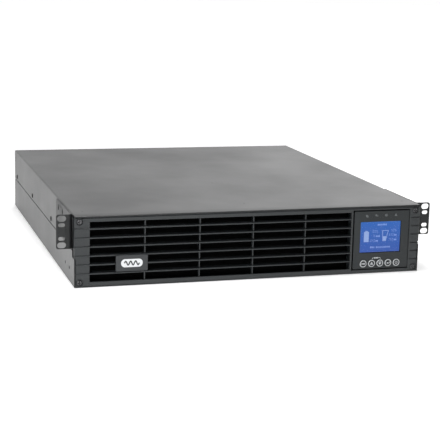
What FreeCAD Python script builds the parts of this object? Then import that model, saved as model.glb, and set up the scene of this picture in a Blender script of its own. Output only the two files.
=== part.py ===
import FreeCAD, Part
import os
import math
from FreeCAD import Vector as V

# Two-unit, nineteen-inch rackmount uninterruptible power supply.
# Millimetres. +Z up, the front panel faces -Y, +X is to the right as seen
# from the front. The geometry below is written with Y measured backwards
# from the front plane of the bezel (Y = 0); every node is then shifted by
# Y_SHIFT so that the origin is at the centre of the underside.

os.makedirs("parts", exist_ok=True)

# ------------------------------------------------------------ dimensions
BODY_W = 440.0          # width of the enclosure
BODY_H = 86.4           # two rack units less clearance
BODY_D = 508.0          # bezel front plane to rear panel
P_FRONT = 1.0           # badge plate stands this far ahead of the bars
P_REAR = 6.0            # set breaker buttons stand this far behind the panel
SHEET = 1.2             # sheet steel
SEAM_Z = 43.8           # joint between tray and cover
SEAM_GAP = 1.0
HALF = BODY_W / 2.0
Y_SHIFT = (P_FRONT - BODY_D - P_REAR) / 2.0

# rack ears
EAR_REACH = 19.0        # plate stands out from the enclosure side
EAR_T = 2.0
EAR_R = 1.8             # inside radius of its bend
EAR_Y = 13.0            # front face of the plate behind the bezel plane
EAR_Z0, EAR_Z1 = 45.0, 86.2
EAR_FLANGE_Y1 = 116.0
SLOT_X = 232.55         # slot centres, half of 465.1
SLOT_BIG = (10.4, 7.2)  # length, width
SLOT_SMALL = (8.0, 4.8)
SLOT_BIG_Z = (49.5, 81.25)
SLOT_SMALL_Z = (57.3, 73.5)

# bezel
BEZ_X = 218.6           # half width between the tray sides
BEZ_XW = 219.9          # half width above the tray sides
BEZ_Z0, BEZ_Z1 = 0.3, 83.7
BEZ_D = 29.5
FACE_Y = 1.0            # rails and end caps sit behind the bars
BAR_Z = (16.8, 27.5, 38.1, 49.0, 59.7, 70.5)
BAR_H = 1.9
BAR_D = 9.0
BAR_R = 0.8             # the bars' front edges are nearly half round
GRILLE = (-201.7, 126.5, 6.8, 78.9)      # x0, x1, z0, z1
RIB_X = (-135.4, -68.0, -0.7, 66.6)
RIB_W = 1.25
RIB_Y = (2.3, 8.2)        # front and back of the ribs
BOSS = ((-213.6, 6.2), (-213.6, 79.2), (213.6, 6.2), (213.6, 79.2))
POCKET = (129.1, 206.1, 4.9, 81.4)
RELIEF = (4.4, 13.4, 35.3, 81.6)         # y0, y1, z0, z1
BADGE = (-171.0, -132.3, 18.3, 38.0)

# display module
DISP = (131.1, 205.8, 5.9, 80.0)
DISP_Y = 1.5
LCD = (139.9, 194.9, 26.6, 66.4)
LED_X = (147.6, 160.9, 174.0, 187.1)
LED_Z = 74.2
BTN_X = (145.3, 156.7, 168.0, 179.1, 190.4)
BTN_Z = 12.8
BTN_R = 4.6
BTN_NAMES = ("button_escape", "button_up", "button_down",
             "button_enter", "button_power")

# battery drawer
DRW_X0, DRW_X1 = -202.5, 103.0
DRW_Y0, DRW_Y1 = 29.9, 243.2
DRW_Z0, DRW_Z1 = 2.5, 72.0
BAT_L, BAT_W, BAT_H = 151.0, 65.0, 94.0   # 12 V 9 Ah block
BAT_LID = 6.0

# rear panel
REAR_Y = BODY_D
FAN_X = (-170.0, -88.0)
FAN_Z = 43.2
FAN_SIZE, FAN_D, FAN_HOLE = 80.0, 25.0, 71.5
INLET = (120.0, 52.0)
OUT_X = (-24.0, 8.0, 40.0, 72.0)
OUT_Z = (18.0, 46.0)
BRK = ((108.0, 20.0), (132.0, 20.0))
CARD = (152.0, 214.0, 42.0, 80.0)
SERIAL = (166.0, 22.0)
USB = (190.5, 22.0)
EPO = (206.0, 22.0)
BATC = (8.0, 73.0)
GND = (84.0, 73.0)
TAB_X, TAB_Z = 215.2, 36.6       # screws that hold the panel to the tray


# --------------------------------------------------------------- helpers
def bx(x0, x1, y0, y1, z0, z1):
    return Part.makeBox(x1 - x0, y1 - y0, z1 - z0, V(x0, y0, z0))


def cyl(x, y, z, r, h, d="y"):
    dirs = {"x": V(1, 0, 0), "y": V(0, 1, 0), "z": V(0, 0, 1)}
    return Part.makeCylinder(r, h, V(x, y, z), dirs[d])


def edges_along(shape, axis, test=None):
    out = []
    for e in shape.Edges:
        if len(e.Vertexes) != 2 or not isinstance(e.Curve, Part.Line):
            continue
        d = (e.Vertexes[1].Point - e.Vertexes[0].Point)
        if d.Length < 1e-6:
            continue
        d.normalize()
        a = {"x": abs(d.x), "y": abs(d.y), "z": abs(d.z)}[axis]
        if a > 0.999:
            c = e.CenterOfMass
            if test is None or test(c):
                out.append(e)
    return out


def fil(shape, r, axis, test=None):
    es = edges_along(shape, axis, test)
    return shape.makeFillet(r, es) if es else shape


def cham(shape, r, axis, test=None):
    es = edges_along(shape, axis, test)
    return shape.makeChamfer(r, es) if es else shape


def rbx(x0, x1, y0, y1, z0, z1, r, axis="y"):
    return fil(bx(x0, x1, y0, y1, z0, z1), r, axis)


def slot_y(xc, zc, length, width, y0, y1):
    r = width / 2.0
    s = (length - width) / 2.0
    a = cyl(xc - s, y0, zc, r, y1 - y0)
    b = cyl(xc + s, y0, zc, r, y1 - y0)
    m = bx(xc - s, xc + s, y0, y1, zc - r, zc + r)
    return m.fuse([a, b]).removeSplitter()


def cut(a, tools):
    return a.cut(tools).removeSplitter()


def fuse(parts):
    return parts[0].fuse(parts[1:]).removeSplitter()


def mirror_x(s):
    return s.mirror(V(0, 0, 0), V(1, 0, 0))


def poly_x(points, x0, x1):
    pts = [V(x0, p[0], p[1]) for p in points]
    w = Part.makePolygon(pts + [pts[0]])
    return Part.Face(w).extrude(V(x1 - x0, 0, 0))


def poly_y(points, y0, y1):
    pts = [V(p[0], y0, p[1]) for p in points]
    w = Part.makePolygon(pts + [pts[0]])
    return Part.Face(w).extrude(V(0, y1 - y0, 0))


def poly_z(points, z0, z1):
    pts = [V(p[0], p[1], z0) for p in points]
    w = Part.makePolygon(pts + [pts[0]])
    return Part.Face(w).extrude(V(0, 0, z1 - z0))


NODES = []


def export(name, shapes):
    if not isinstance(shapes, (list, tuple)):
        shapes = [shapes]
    solids = []
    for s in shapes:
        for k in s.Solids:
            k = k.copy()
            k.translate(V(0, Y_SHIFT, 0))
            solids.append(k)
    for k in solids:
        if not k.isValid() or k.Volume < 0.01:
            print("PROBLEM", name, k.isValid(), k.Volume)
    out = solids[0] if len(solids) == 1 else Part.makeCompound(solids)
    out.exportStep("parts/%s.step" % name)
    b = out.BoundBox
    NODES.append(name)
    print("%-26s %3d solids  x %.1f..%.1f  y %.1f..%.1f  z %.1f..%.1f  %.1f cm3" % (
        name, len(solids), b.XMin, b.XMax, b.YMin, b.YMax, b.ZMin, b.ZMax,
        sum(k.Volume for k in solids) / 1000.0))


# --------------------------------------------------------- screw of one kind
def screw(x, y, z, d, head_r, head_h, shank_r, shank_l, cross=2.2):
    """Pan head screw. d is the direction the shank points: '+y', '-y', '+x'..."""
    axis = {"x": V(1, 0, 0), "y": V(0, 1, 0), "z": V(0, 0, 1)}[d[1]]
    if d[0] == "-":
        axis = axis * -1.0
    p = V(x, y, z)
    head = Part.makeCylinder(head_r, head_h, p - axis * head_h, axis)
    try:
        rim = [e for e in head.Edges if isinstance(e.Curve, Part.Circle)
               and (e.CenterOfMass - (p - axis * head_h)).Length < 1e-3]
        head = head.makeFillet(min(head_h * 0.5, head_r * 0.3), rim)
    except Exception:
        pass
    shank = Part.makeCylinder(shank_r, shank_l, p, axis)
    s = head.fuse(shank).removeSplitter()
    # crosshead recess
    depth = head_h * 0.6
    c = p - axis * (head_h - depth / 2.0)
    w = 0.8
    if d[1] == "y":
        a = bx(c.x - cross, c.x + cross, c.y - depth, c.y + depth, c.z - w / 2, c.z + w / 2)
        b = bx(c.x - w / 2, c.x + w / 2, c.y - depth, c.y + depth, c.z - cross, c.z + cross)
    elif d[1] == "x":
        a = bx(c.x - depth, c.x + depth, c.y - cross, c.y + cross, c.z - w / 2, c.z + w / 2)
        b = bx(c.x - depth, c.x + depth, c.y - w / 2, c.y + w / 2, c.z - cross, c.z + cross)
    else:
        a = bx(c.x - cross, c.x + cross, c.y - w / 2, c.y + w / 2, c.z - depth, c.z + depth)
        b = bx(c.x - w / 2, c.x + w / 2, c.y - cross, c.y + cross, c.z - depth, c.z + depth)
    # keep the recess in the outer part of the head only
    shell = Part.makeCylinder(head_r + 1, depth, p - axis * head_h, axis)
    rec = a.fuse(b).common(shell)
    return s.cut(rec).removeSplitter()


# =================================================================== chassis
# ------------------------------------------------------------ chassis tray
R_BEND = 1.8
outer = rbx(-HALF, HALF, 0.8, REAR_Y, 0.0, 60.0, R_BEND)
inner = rbx(-HALF + SHEET, HALF - SHEET, 0.0, REAR_Y + 1, SHEET, 70.0, R_BEND - SHEET + 0.2)
tray = outer.cut(inner)
tray = tray.cut([
    bx(-300, 300, -1, 600, SEAM_Z - SEAM_GAP, 100),
    bx(-HALF + SHEET, HALF - SHEET, -1, 30.5, -1, 10),
    bx(-300, 300, -1, 13.4, 35.0, 100),
])
lip = []
for s in (-1, 1):
    a, b = sorted((s * (HALF - SHEET), s * (HALF - 2 * SHEET)))
    lip.append(bx(a, b, 32.0, 500.0, 36.0, 54.0))
# folded tabs at the back that the rear panel is screwed to
for s in (-1, 1):
    a, b = sorted((s * (HALF - 0.6), s * (HALF - 8.4)))
    lip.append(bx(a, b, REAR_Y - 2 * SHEET - 0.04, REAR_Y - SHEET - 0.04, TAB_Z - 5.0, TAB_Z + 5.0))
tray = fuse([tray] + lip)
RAIL_HOLES = ((31.4, 18.3), (59.0, 18.3))
SIDE_SCREW = ((482.0, 49.6), (327.0, 49.6), (167.0, 49.6))
EAR_SCREW = ((99.0, 78.0), (70.0, 78.0), (62.0, 51.0), (33.0, 51.0))
tools = [cyl(s * TAB_X, REAR_Y - 4, TAB_Z, 1.65, 5) for s in (-1, 1)]
for s in (-1, 1):
    x0 = -HALF - 1 if s < 0 else HALF - 6
    for (y, z) in RAIL_HOLES:
        tools.append(cyl(x0, y, z, 2.25, 7, "x"))
    for (y, z) in SIDE_SCREW:
        tools.append(cyl(x0, y, z, 1.55, 7, "x"))
    for (y, z) in EAR_SCREW[2:]:
        tools.append(cyl(x0, y, z, 1.8, 7, "x"))
tray = cut(tray, tools)
export("chassis_tray", tray)

# --------------------------------------------------------------- top cover
FRONT_Y = 0.4
ROLL_R, ROLL_DROP = 2.1, 0.3
# the front of the sheet sinks a little and then rolls over the bezel's edge
yr, zr, rr = FRONT_Y + ROLL_R, BODY_H - ROLL_DROP - ROLL_R, ROLL_R
ri, q = ROLL_R - SHEET, math.sqrt(0.5)
roll_edges = [
    Part.Arc(V(0, 14, BODY_H), V(0, (14 + yr) / 2, BODY_H - ROLL_DROP * 0.27), V(0, yr, zr + rr)).toShape(),
    Part.Arc(V(0, yr, zr + rr), V(0, yr - rr * q, zr + rr * q), V(0, yr - rr, zr)).toShape(),
    Part.makeLine(V(0, yr - rr, zr), V(0, yr - ri, zr)),
    Part.Arc(V(0, yr - ri, zr), V(0, yr - ri * q, zr + ri * q), V(0, yr, zr + ri)).toShape(),
    Part.Arc(V(0, yr, zr + ri), V(0, (14 + yr) / 2, BODY_H - SHEET - ROLL_DROP * 0.27),
             V(0, 14, BODY_H - SHEET)).toShape(),
    Part.makeLine(V(0, 14, BODY_H - SHEET), V(0, 14, BODY_H))]
roll = Part.Face(Part.Wire(roll_edges)).extrude(V(BODY_W - 1.0, 0, 0))
roll.translate(V(-HALF + 0.5, 0, 0))
cover_out = fil(bx(-HALF, HALF, 14.0, REAR_Y, SEAM_Z, BODY_H), 1.8, "y",
                lambda c: c.z > BODY_H - 1)
cover_in = bx(-HALF + SHEET, HALF - SHEET, 13.0, REAR_Y + 1, 0, BODY_H - SHEET)
cover = cover_out.cut(cover_in)
cover = cover.cut(bx(-300, 300, 13.0, 15.3, 0, BODY_H - 2.0))
cover = fuse([cover, roll])
tools = []
for s in (-1, 1):
    x0 = -HALF - 1 if s < 0 else HALF - 6
    for (y, z) in SIDE_SCREW:
        tools.append(cyl(x0, y, z, 1.7, 7, "x"))
    for (y, z) in EAR_SCREW:
        tools.append(cyl(x0, y, z, 1.8, 7, "x"))
# shallow forming dimples in the top sheet
for (x, y) in ((0.5, 189.5), (0.0, 44.6), (-206.0, 27.0), (206.0, 27.0)):
    tools.append(Part.makeSphere(2.6, V(x, y, BODY_H + 2.25)))
cover = cut(cover, tools)
export("top_cover", cover)

scr = []
for s in (-1, 1):
    for (y, z) in SIDE_SCREW:
        scr.append(screw(s * HALF, y, z, "-x" if s > 0 else "+x", 3.0, 0.7, 1.5, 4.0, 1.7))
export("cover_screws", scr)

# --------------------------------------------------------------- rack ears
def rack_ear():
    p = bx(-HALF - EAR_REACH, -HALF - 0.02, EAR_Y, EAR_Y + EAR_T, EAR_Z0, EAR_Z1)
    p = fil(p, 2.6, "y", lambda c: c.x < -HALF - 5)
    f = bx(-HALF - EAR_T, -HALF - 0.02, EAR_Y, EAR_FLANGE_Y1, EAR_Z0, BODY_H - 0.4)
    f = fil(f, 3.0, "x", lambda c: c.y > 50)
    e = p.fuse(f).removeSplitter()
    # inner and outer radius of the bend between plate and flange
    e = fil(e, EAR_R, "z", lambda c: abs(c.x + HALF + EAR_T) < 0.01 and abs(c.y - EAR_Y - EAR_T) < 0.01)
    ro = EAR_R + EAR_T
    e = e.cut(bx(-HALF - 0.02 - ro, -HALF + 1, EAR_Y - 1, EAR_Y + ro, 40, 90).cut(
        cyl(-HALF - 0.02 - ro, EAR_Y + ro, 35, ro, 60, "z")))
    tools = []
    for z in SLOT_BIG_Z:
        tools.append(slot_y(-SLOT_X, z, SLOT_BIG[0], SLOT_BIG[1], 10, 18))
    for z in SLOT_SMALL_Z:
        tools.append(slot_y(-SLOT_X, z, SLOT_SMALL[0], SLOT_SMALL[1], 10, 18))
    for (y, z) in EAR_SCREW:
        tools.append(cyl(-HALF - 5, y, z, 1.8, 8, "x"))
        tools.append(cyl(-HALF - EAR_T - 1, y, z, 3.7, 1.4, "x"))
        tools.append(Part.makeCone(3.7, 1.7, 1.4, V(-HALF - EAR_T + 0.4, y, z), V(1, 0, 0)))
    return cut(e, tools)


ear = rack_ear()
export("rack_ear_left", ear)
export("rack_ear_right", mirror_x(ear))


def csk_screw(x, y, z):
    """Countersunk ear screw, left side, pointing inwards."""
    h = Part.makeCone(3.5, 1.6, 1.3, V(x, y, z), V(1, 0, 0))
    sh = Part.makeCylinder(1.6, 6.5, V(x + 1.3, y, z), V(1, 0, 0))
    s = h.fuse(sh).removeSplitter()
    a = bx(x - 1, x + 0.7, y - 1.7, y + 1.7, z - 0.35, z + 0.35)
    b = bx(x - 1, x + 0.7, y - 0.35, y + 0.35, z - 1.7, z + 1.7)
    return s.cut([a, b]).removeSplitter()


es = []
for (y, z) in EAR_SCREW:
    k = csk_screw(-HALF - EAR_T + 0.5, y, z)
    es += [k, mirror_x(k)]
export("ear_screws", es)

# --------------------------------------------------------- front bulkhead
FB_Y = 30.0
fb = bx(-217.3, 217.3, FB_Y, FB_Y + SHEET, 1.3, 85.0)
flg = [bx(-217.3, -216.1, FB_Y, 46.0, 3.0, 34.0), bx(216.1, 217.3, FB_Y, 46.0, 3.0, 34.0),
       bx(-200.0, 200.0, FB_Y, 44.0, 83.8, 85.0)]
fb = fuse([fb] + flg)
tools = [bx(-203.6, 104.1, 20, 32, 1.0, 73.2),
         rbx(140.0, 200.0, 20, 40, 18.0, 70.0, 5.0)]
for (x, z) in BOSS:
    tools.append(cyl(x, 25, z, 1.65, 12))
for x in (-190.0, -50.0, 90.0):
    tools.append(cyl(x, 25, 78.0, 1.65, 12))
# room for the screws of the side rails
for x in (-219.0, 209.0):
    tools.append(cyl(x, RAIL_HOLES[0][0], RAIL_HOLES[0][1], 4.2, 10.0, "x"))
fb = cut(fb, tools)
export("front_bulkhead", fb)

# ------------------------------------------------------- drawer guides
gd = []
for s in (0, 1):
    if s == 0:
        up = bx(-204.4, -203.2, 32.0, 244.0, 1.2, 20.0)
        ft = bx(-204.4, -188.0, 32.0, 244.0, 1.2, 2.4)
    else:
        up = bx(103.7, 104.9, 32.0, 244.0, 1.2, 20.0)
        ft = bx(88.0, 104.9, 32.0, 244.0, 1.2, 2.4)
    g = fuse([up, ft])
    gd.append(g)
export("drawer_guides", gd)

# ------------------------------------------------------- battery bay wall
bw = fuse([bx(106.0, 107.2, 33.0, 246.0, 1.3, 83.6),
           bx(106.0, 118.0, 33.0, 246.0, 1.3, 2.5)])
tools = []
for i in range(5):
    y = 60.0 + i * 38.0
    tools.append(rbx(100, 112, y, y + 24, 40.0, 48.0, 3.9, "x"))
bw = cut(bw, tools)
export("battery_bay_wall", bw)

# ------------------------------------------------------- middle bulkhead
mb = fuse([bx(-216.0, 216.0, 248.0, 249.2, 1.3, 84.6),
           bx(-216.0, 216.0, 248.0, 260.0, 1.3, 2.5)])
tools = []
for i in range(11):
    x = -196.0 + i * 28.0
    if 28.0 < x + 10 < 72.0:
        continue
    for z in (20.0, 34.0, 48.0, 62.0):
        tools.append(rbx(x, x + 20, 240, 252, z, z + 7, 3.4))
tools.append(bx(22.0, 78.0, 240, 252, 26.0, 50.0))
for i in range(3):
    x = 120.0 + i * 30.0
    for z in (20.0, 34.0, 48.0, 62.0):
        tools.append(rbx(x, x + 20, 240, 252, z, z + 7, 3.4))
mb = cut(mb, tools)
export("middle_bulkhead", mb)

# -------------------------------------------------- battery socket (chassis)
bs = fuse([bx(23.0, 77.0, 246.6, 262.0, 27.0, 49.0), bx(18.0, 82.0, 249.2, 251.2, 23.0, 53.0)])
bs = cut(bs, [bx(27.0, 47.0, 240, 258.0, 31.0, 45.0), bx(53.0, 73.0, 240, 258.0, 31.0, 45.0)])
export("battery_socket", bs)

# ------------------------------------------------------------- circuit boards
MB_Z = 8.0
mbx = (-206.0, 150.0, 262.0, 470.0)
STANDS = [(-198.0, 270.0), (-198.0, 366.0), (-198.0, 462.0), (-28.0, 270.0), (-28.0, 366.0),
          (-28.0, 462.0), (142.0, 270.0), (142.0, 366.0), (142.0, 462.0),
          (122.0, 48.0), (204.0, 48.0), (122.0, 228.0), (204.0, 228.0)]
board = bx(mbx[0], mbx[1], mbx[2], mbx[3], MB_Z, MB_Z + 1.6)
board = cut(board, [cyl(x, y, 0, 1.7, 20, "z") for (x, y) in STANDS[:9]])
export("main_board", board)
ch = bx(114.0, 212.0, 40.0, 236.0, MB_Z, MB_Z + 1.6)
ch = cut(ch, [cyl(x, y, 0, 1.7, 20, "z") for (x, y) in STANDS[9:]])
chp = [ch,
       fuse([bx(124.0, 160.0, 70.0, 130.0, 9.6, 12.6)] +
            [bx(124.0 + i * 6, 126.0 + i * 6, 70.0, 130.0, 12.6, 40.0) for i in range(7)]),
       cyl(182.0, 80.0, 9.6, 12.0, 32.0, "z"), cyl(182.0, 110.0, 9.6, 12.0, 32.0, "z"),
       bx(130.0, 168.0, 150.0, 190.0, 9.6, 44.0),
       bx(176.0, 204.0, 150.0, 166.0, 9.6, 30.0), bx(176.0, 204.0, 172.0, 188.0, 9.6, 30.0)]
export("charger_board", chp)
stands = []
for (x, y) in STANDS:
    st = cyl(x, y, SHEET, 3.2, MB_Z - SHEET, "z").fuse(cyl(x, y, MB_Z, 1.5, 3.0, "z"))
    st = st.fuse(cyl(x, y, MB_Z + 1.6, 2.8, 2.0, "z")).removeSplitter()
    stands.append(st)
export("board_standoffs", stands)
cb = bx(160.0, 161.6, 262.0, 470.0, 8.0, 76.0)
chips = [bx(161.6, 164.6, 300.0, 324.0, 30.0, 54.0), bx(161.6, 163.6, 350.0, 366.0, 34.0, 44.0),
         bx(161.6, 163.6, 390.0, 406.0, 34.0, 44.0), bx(161.6, 171.6, 430.0, 460.0, 14.0, 24.0),
         fuse([bx(150.6, 160.0, 266.0, 290.0, 9.8, 12.8), bx(157.6, 160.0, 266.0, 290.0, 9.8, 22.0)]),
         bx(161.6, 169.6, 270.0, 290.0, 60.0, 70.0)]
export("control_board", [cb] + chips)

# ------------------------------------------------------------- heat sinks
def heat_sink(x0):
    base = bx(x0, x0 + 5.0, 272.0, 440.0, 12.0, 74.0)
    fins = [bx(x0 + 5.0, x0 + 38.0, 272.0, 440.0, 13.0 + i * 7.5, 14.8 + i * 7.5) for i in range(9)]
    feet = [bx(x0, x0 + 5.0, y, y + 8.0, 9.6, 12.0) for y in (280.0, 424.0)]
    return fuse([base] + fins + feet)


hs = [heat_sink(-182.0), heat_sink(-52.0)]
export("heat_sinks", hs)
tr = []
for x0 in (-182.0, -52.0):
    for i in range(6):
        y = 280.0 + i * 26.0
        tr.append(bx(x0 - 5.0, x0, y, y + 16.0, 30.0, 51.0).fuse(
            [bx(x0 - 3.0, x0 - 2.4, y + k, y + k + 1.2, 9.6, 30.0) for k in (2.0, 7.4, 12.8)]).removeSplitter())
export("power_transistors", tr)

caps = []
for i in range(4):
    for j in range(2):
        c = cyl(-118.0 + j * 34.0, 284.0 + i * 34.0, 9.6, 15.0, 48.0, "z")
        c = c.makeFillet(1.5, [e for e in c.Edges if isinstance(e.Curve, Part.Circle)
                               and e.CenterOfMass.z > 50])
        c = c.cut([bx(-118.0 + j * 34.0 - 9, -118.0 + j * 34.0 + 9, 283.6 + i * 34.0, 284.4 + i * 34.0, 57.2, 60),
                   bx(-118.4 + j * 34.0, -117.6 + j * 34.0, 275.0 + i * 34.0, 293.0 + i * 34.0, 57.2, 60)])
        caps.append(c)
export("capacitors", caps)

# toroidal chokes: a wound ring standing on the board
ch_l = []
for (x, y) in ((20.0, 296.0), (20.0, 352.0), (20.0, 408.0)):
    ring = cyl(x, y, 10.0, 24.0, 24.0, "z").cut(cyl(x, y, 9.0, 10.5, 26.0, "z"))
    ring = ring.makeFillet(3.0, [e for e in ring.Edges if isinstance(e.Curve, Part.Circle) and e.Closed])
    ch_l.append(ring)
export("chokes", ch_l)

# power transformers: ferrite core with a wound bobbin on its centre leg
cores, winds = [], []
for y in (276.0, 356.0):
    x = 62.0
    blk = bx(x, x + 64.0, y, y + 24.0, 10.0, 66.0)
    blk = blk.cut([bx(x + 11.0, x + 22.0, y - 1, y + 25.0, 21.0, 55.0),
                   bx(x + 42.0, x + 53.0, y - 1, y + 25.0, 21.0, 55.0)])
    cores.append(blk)
    w = rbx(x + 11.6, x + 52.4, y - 9.0, y + 33.0, 21.6, 54.4, 5.0, "z")
    w = w.cut(bx(x + 21.7, x + 42.3, y - 0.3, y + 24.3, 0, 80))
    winds.append(w)
export("transformer_cores", cores)
export("transformer_windings", winds)

# ================================================================ rear panel
rp_y0 = REAR_Y - SHEET
rp = cham(bx(-218.7, 218.7, rp_y0, REAR_Y, 1.3, 85.1), 1.2, "y")
tools = [cyl(s * TAB_X, rp_y0 - 2, TAB_Z, 1.65, 6) for s in (-1, 1)]
for fx in FAN_X:
    tools.append(cyl(fx, rp_y0 - 2, FAN_Z, 38.3, 6))
    for dx in (-1, 1):
        for dz in (-1, 1):
            tools.append(cyl(fx + dx * FAN_HOLE / 2, rp_y0 - 2, FAN_Z + dz * FAN_HOLE / 2, 2.2, 6))
ow, oh = 28.0, 22.0
for x in OUT_X:
    for z in OUT_Z:
        tools.append(rbx(x - ow / 2 - 1.2, x + ow / 2 + 1.2, rp_y0 - 2, REAR_Y + 2,
                         z - oh / 2 - 1.2, z + oh / 2 + 1.2, 2.0))
tools.append(rbx(INLET[0] - 14.2, INLET[0] + 14.2, rp_y0 - 2, REAR_Y + 2,
                 INLET[1] - 10.2, INLET[1] + 10.2, 2.0))
for dx in (-20.0, 20.0):
    tools.append(cyl(INLET[0] + dx, rp_y0 - 2, INLET[1], 1.65, 6))
for (x, z) in BRK:
    tools.append(cyl(x, rp_y0 - 2, z, 5.6, 6))
tools.append(bx(CARD[0] + 5, CARD[1] - 5, rp_y0 - 2, REAR_Y + 2, CARD[2] + 4, CARD[3] - 4))
for x in (CARD[0] + 2.6, CARD[1] - 2.6):
    tools.append(cyl(x, rp_y0 - 2, (CARD[2] + CARD[3]) / 2, 1.65, 6))
tools.append(rbx(SERIAL[0] - 9.8, SERIAL[0] + 9.8, rp_y0 - 2, REAR_Y + 2, SERIAL[1] - 5.4, SERIAL[1] + 5.4, 2.0))
tools.append(bx(USB[0] - 6.1, USB[0] + 6.1, rp_y0 - 2, REAR_Y + 2, USB[1] - 5.7, USB[1] + 5.7))
tools.append(bx(EPO[0] - 7.1, EPO[0] + 7.1, rp_y0 - 2, REAR_Y + 2, EPO[1] - 6.1, EPO[1] + 6.1))
tools.append(bx(BATC[0] - 26.2, BATC[0] + 26.2, rp_y0 - 2, REAR_Y + 2, BATC[1] - 8.2, BATC[1] + 8.2))
tools.append(cyl(GND[0], rp_y0 - 2, GND[1], 2.05, 6))
rp = cut(rp, tools)
export("rear_panel", rp)

# -------------------------------------------------------------------- fans
def fan_frame(fx):
    y0, y1 = rp_y0 - FAN_D, rp_y0 - 0.02
    h = FAN_SIZE / 2
    f = rbx(fx - h, fx + h, y0, y1, FAN_Z - h, FAN_Z + h, 4.0)
    f = f.cut(cyl(fx, y0 - 1, FAN_Z, 38.4, FAN_D + 2))
    # waist between the two corner flanges
    ring = rbx(fx - h - 5, fx + h + 5, y0 + 4.5, y1 - 4.5, FAN_Z - h - 5, FAN_Z + h + 5, 1.0).cut(
        cyl(fx, y0, FAN_Z, 39.9, FAN_D))
    f = f.cut(ring)
    hub = cyl(fx, y1 - 3.4, FAN_Z, 17.5, 3.0)
    tube = cyl(fx, y1 - 16.0, FAN_Z, 5.5, 13.0)
    parts = [f, hub, tube]
    for k in range(4):
        st = bx(fx + 15.0, fx + 38.8, y1 - 3.4, y1 - 0.4, FAN_Z - 1.6, FAN_Z + 1.6)
        st.rotate(V(fx, 0, FAN_Z), V(0, 1, 0), 30.0 + 90.0 * k)
        parts.append(st)
    f = fuse(parts)
    tools = [cyl(fx, y1 - 20.0, FAN_Z, 2.55, 19.0)]
    for dx in (-1, 1):
        for dz in (-1, 1):
            tools.append(cyl(fx + dx * FAN_HOLE / 2, y0 - 1, FAN_Z + dz * FAN_HOLE / 2, 2.2, FAN_D + 2))
    return cut(f, tools)


def fan_rotor(fx, n=7):
    y0, y1 = rp_y0 - FAN_D, rp_y0 - 0.02
    cup = cyl(fx, y0 + 1.0, FAN_Z, 17.0, 18.6).cut(cyl(fx, y0 + 3.2, FAN_Z, 15.2, 30.0))
    shaft = cyl(fx, y0 + 2.0, FAN_Z, 2.5, 19.5)
    boss = cyl(fx, y0 + 2.0, FAN_Z, 4.5, 4.5)
    parts = [cup, shaft, boss]
    for k in range(n):
        b = Part.makeBox(24.0, 23.0, 1.5, V(15.6, -11.5, -0.75))
        b.rotate(V(0, 0, 0), V(1, 0, 0), 42.0)
        b.translate(V(fx, y0 + 10.8, FAN_Z))
        b.rotate(V(fx, 0, FAN_Z), V(0, 1, 0), 360.0 / n * k)
        lim = cyl(fx, y0 - 5, FAN_Z, 37.4, 40).cut(cyl(fx, y0 - 6, FAN_Z, 16.0, 42))
        parts.append(b.common(lim))
    return fuse(parts)


frames = [fan_frame(x) for x in FAN_X]
export("fan_frames", frames)
export("fan_rotor_left", fan_rotor(FAN_X[0]))
export("fan_rotor_right", fan_rotor(FAN_X[1]))


def fan_guard(fx):
    # flat-wire guard: four rings, four radial wires and four screw eyes
    y0, t, w = REAR_Y + 0.3, 1.7, 0.9
    parts = []
    for k in range(4):
        a = 45.0 + 90.0 * k
        bar = bx(fx + 9.4, fx + 47.4, y0, y0 + t, FAN_Z - w, FAN_Z + w)
        bar.rotate(V(fx, 0, FAN_Z), V(0, 1, 0), a)
        parts.append(bar)
        dx, dz = math.cos(math.radians(a)), math.sin(math.radians(a))
        reach = FAN_HOLE / 2 * math.sqrt(2)
        parts.append(cyl(fx + dx * reach, REAR_Y + 0.02, FAN_Z + dz * reach, 4.0, 2.0).cut(
            cyl(fx + dx * reach, REAR_Y - 1, FAN_Z + dz * reach, 2.2, 5.0)))
    for r in (10.0, 18.5, 27.0, 35.5):
        parts.append(cyl(fx, y0, FAN_Z, r + w, t).cut(cyl(fx, y0 - 1, FAN_Z, r - w, t + 2)))
    return fuse(parts)


export("fan_guards", [fan_guard(x) for x in FAN_X])

# rear fasteners: fan, inlet and slot-cover screws of one kind
rs = []
for fx in FAN_X:
    for dx in (-1, 1):
        for dz in (-1, 1):
            rs.append(screw(fx + dx * FAN_HOLE / 2, REAR_Y + 2.02, FAN_Z + dz * FAN_HOLE / 2, "-y",
                            3.6, 2.0, 1.6, 14.0, 2.0))
for dx in (-20.0, 20.0):
    rs.append(screw(INLET[0] + dx, REAR_Y + 2.5, INLET[1], "-y", 3.0, 2.0, 1.6, 8.0, 1.8))
for x in (CARD[0] + 2.6, CARD[1] - 2.6):
    rs.append(screw(x, REAR_Y + 1.22, (CARD[2] + CARD[3]) / 2, "-y", 2.4, 2.0, 1.6, 8.0, 1.5))
for s in (-1, 1):
    rs.append(screw(s * TAB_X, REAR_Y + 0.02, TAB_Z, "-y", 2.9, 1.6, 1.6, 6.0, 1.8))
export("rear_screws", rs)

# ------------------------------------------------------------- power inlet
def c_shape(xc, zc, w, h, c, y0, y1, flip=1):
    """Rectangle with two corners cut, the outline of an appliance coupler."""
    pts = [(xc - w / 2, zc - flip * h / 2), (xc + w / 2, zc - flip * h / 2),
           (xc + w / 2, zc + flip * (h / 2 - c)), (xc + w / 2 - c, zc + flip * h / 2),
           (xc - w / 2 + c, zc + flip * h / 2), (xc - w / 2, zc + flip * (h / 2 - c))]
    return poly_y(pts, y0, y1)


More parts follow.
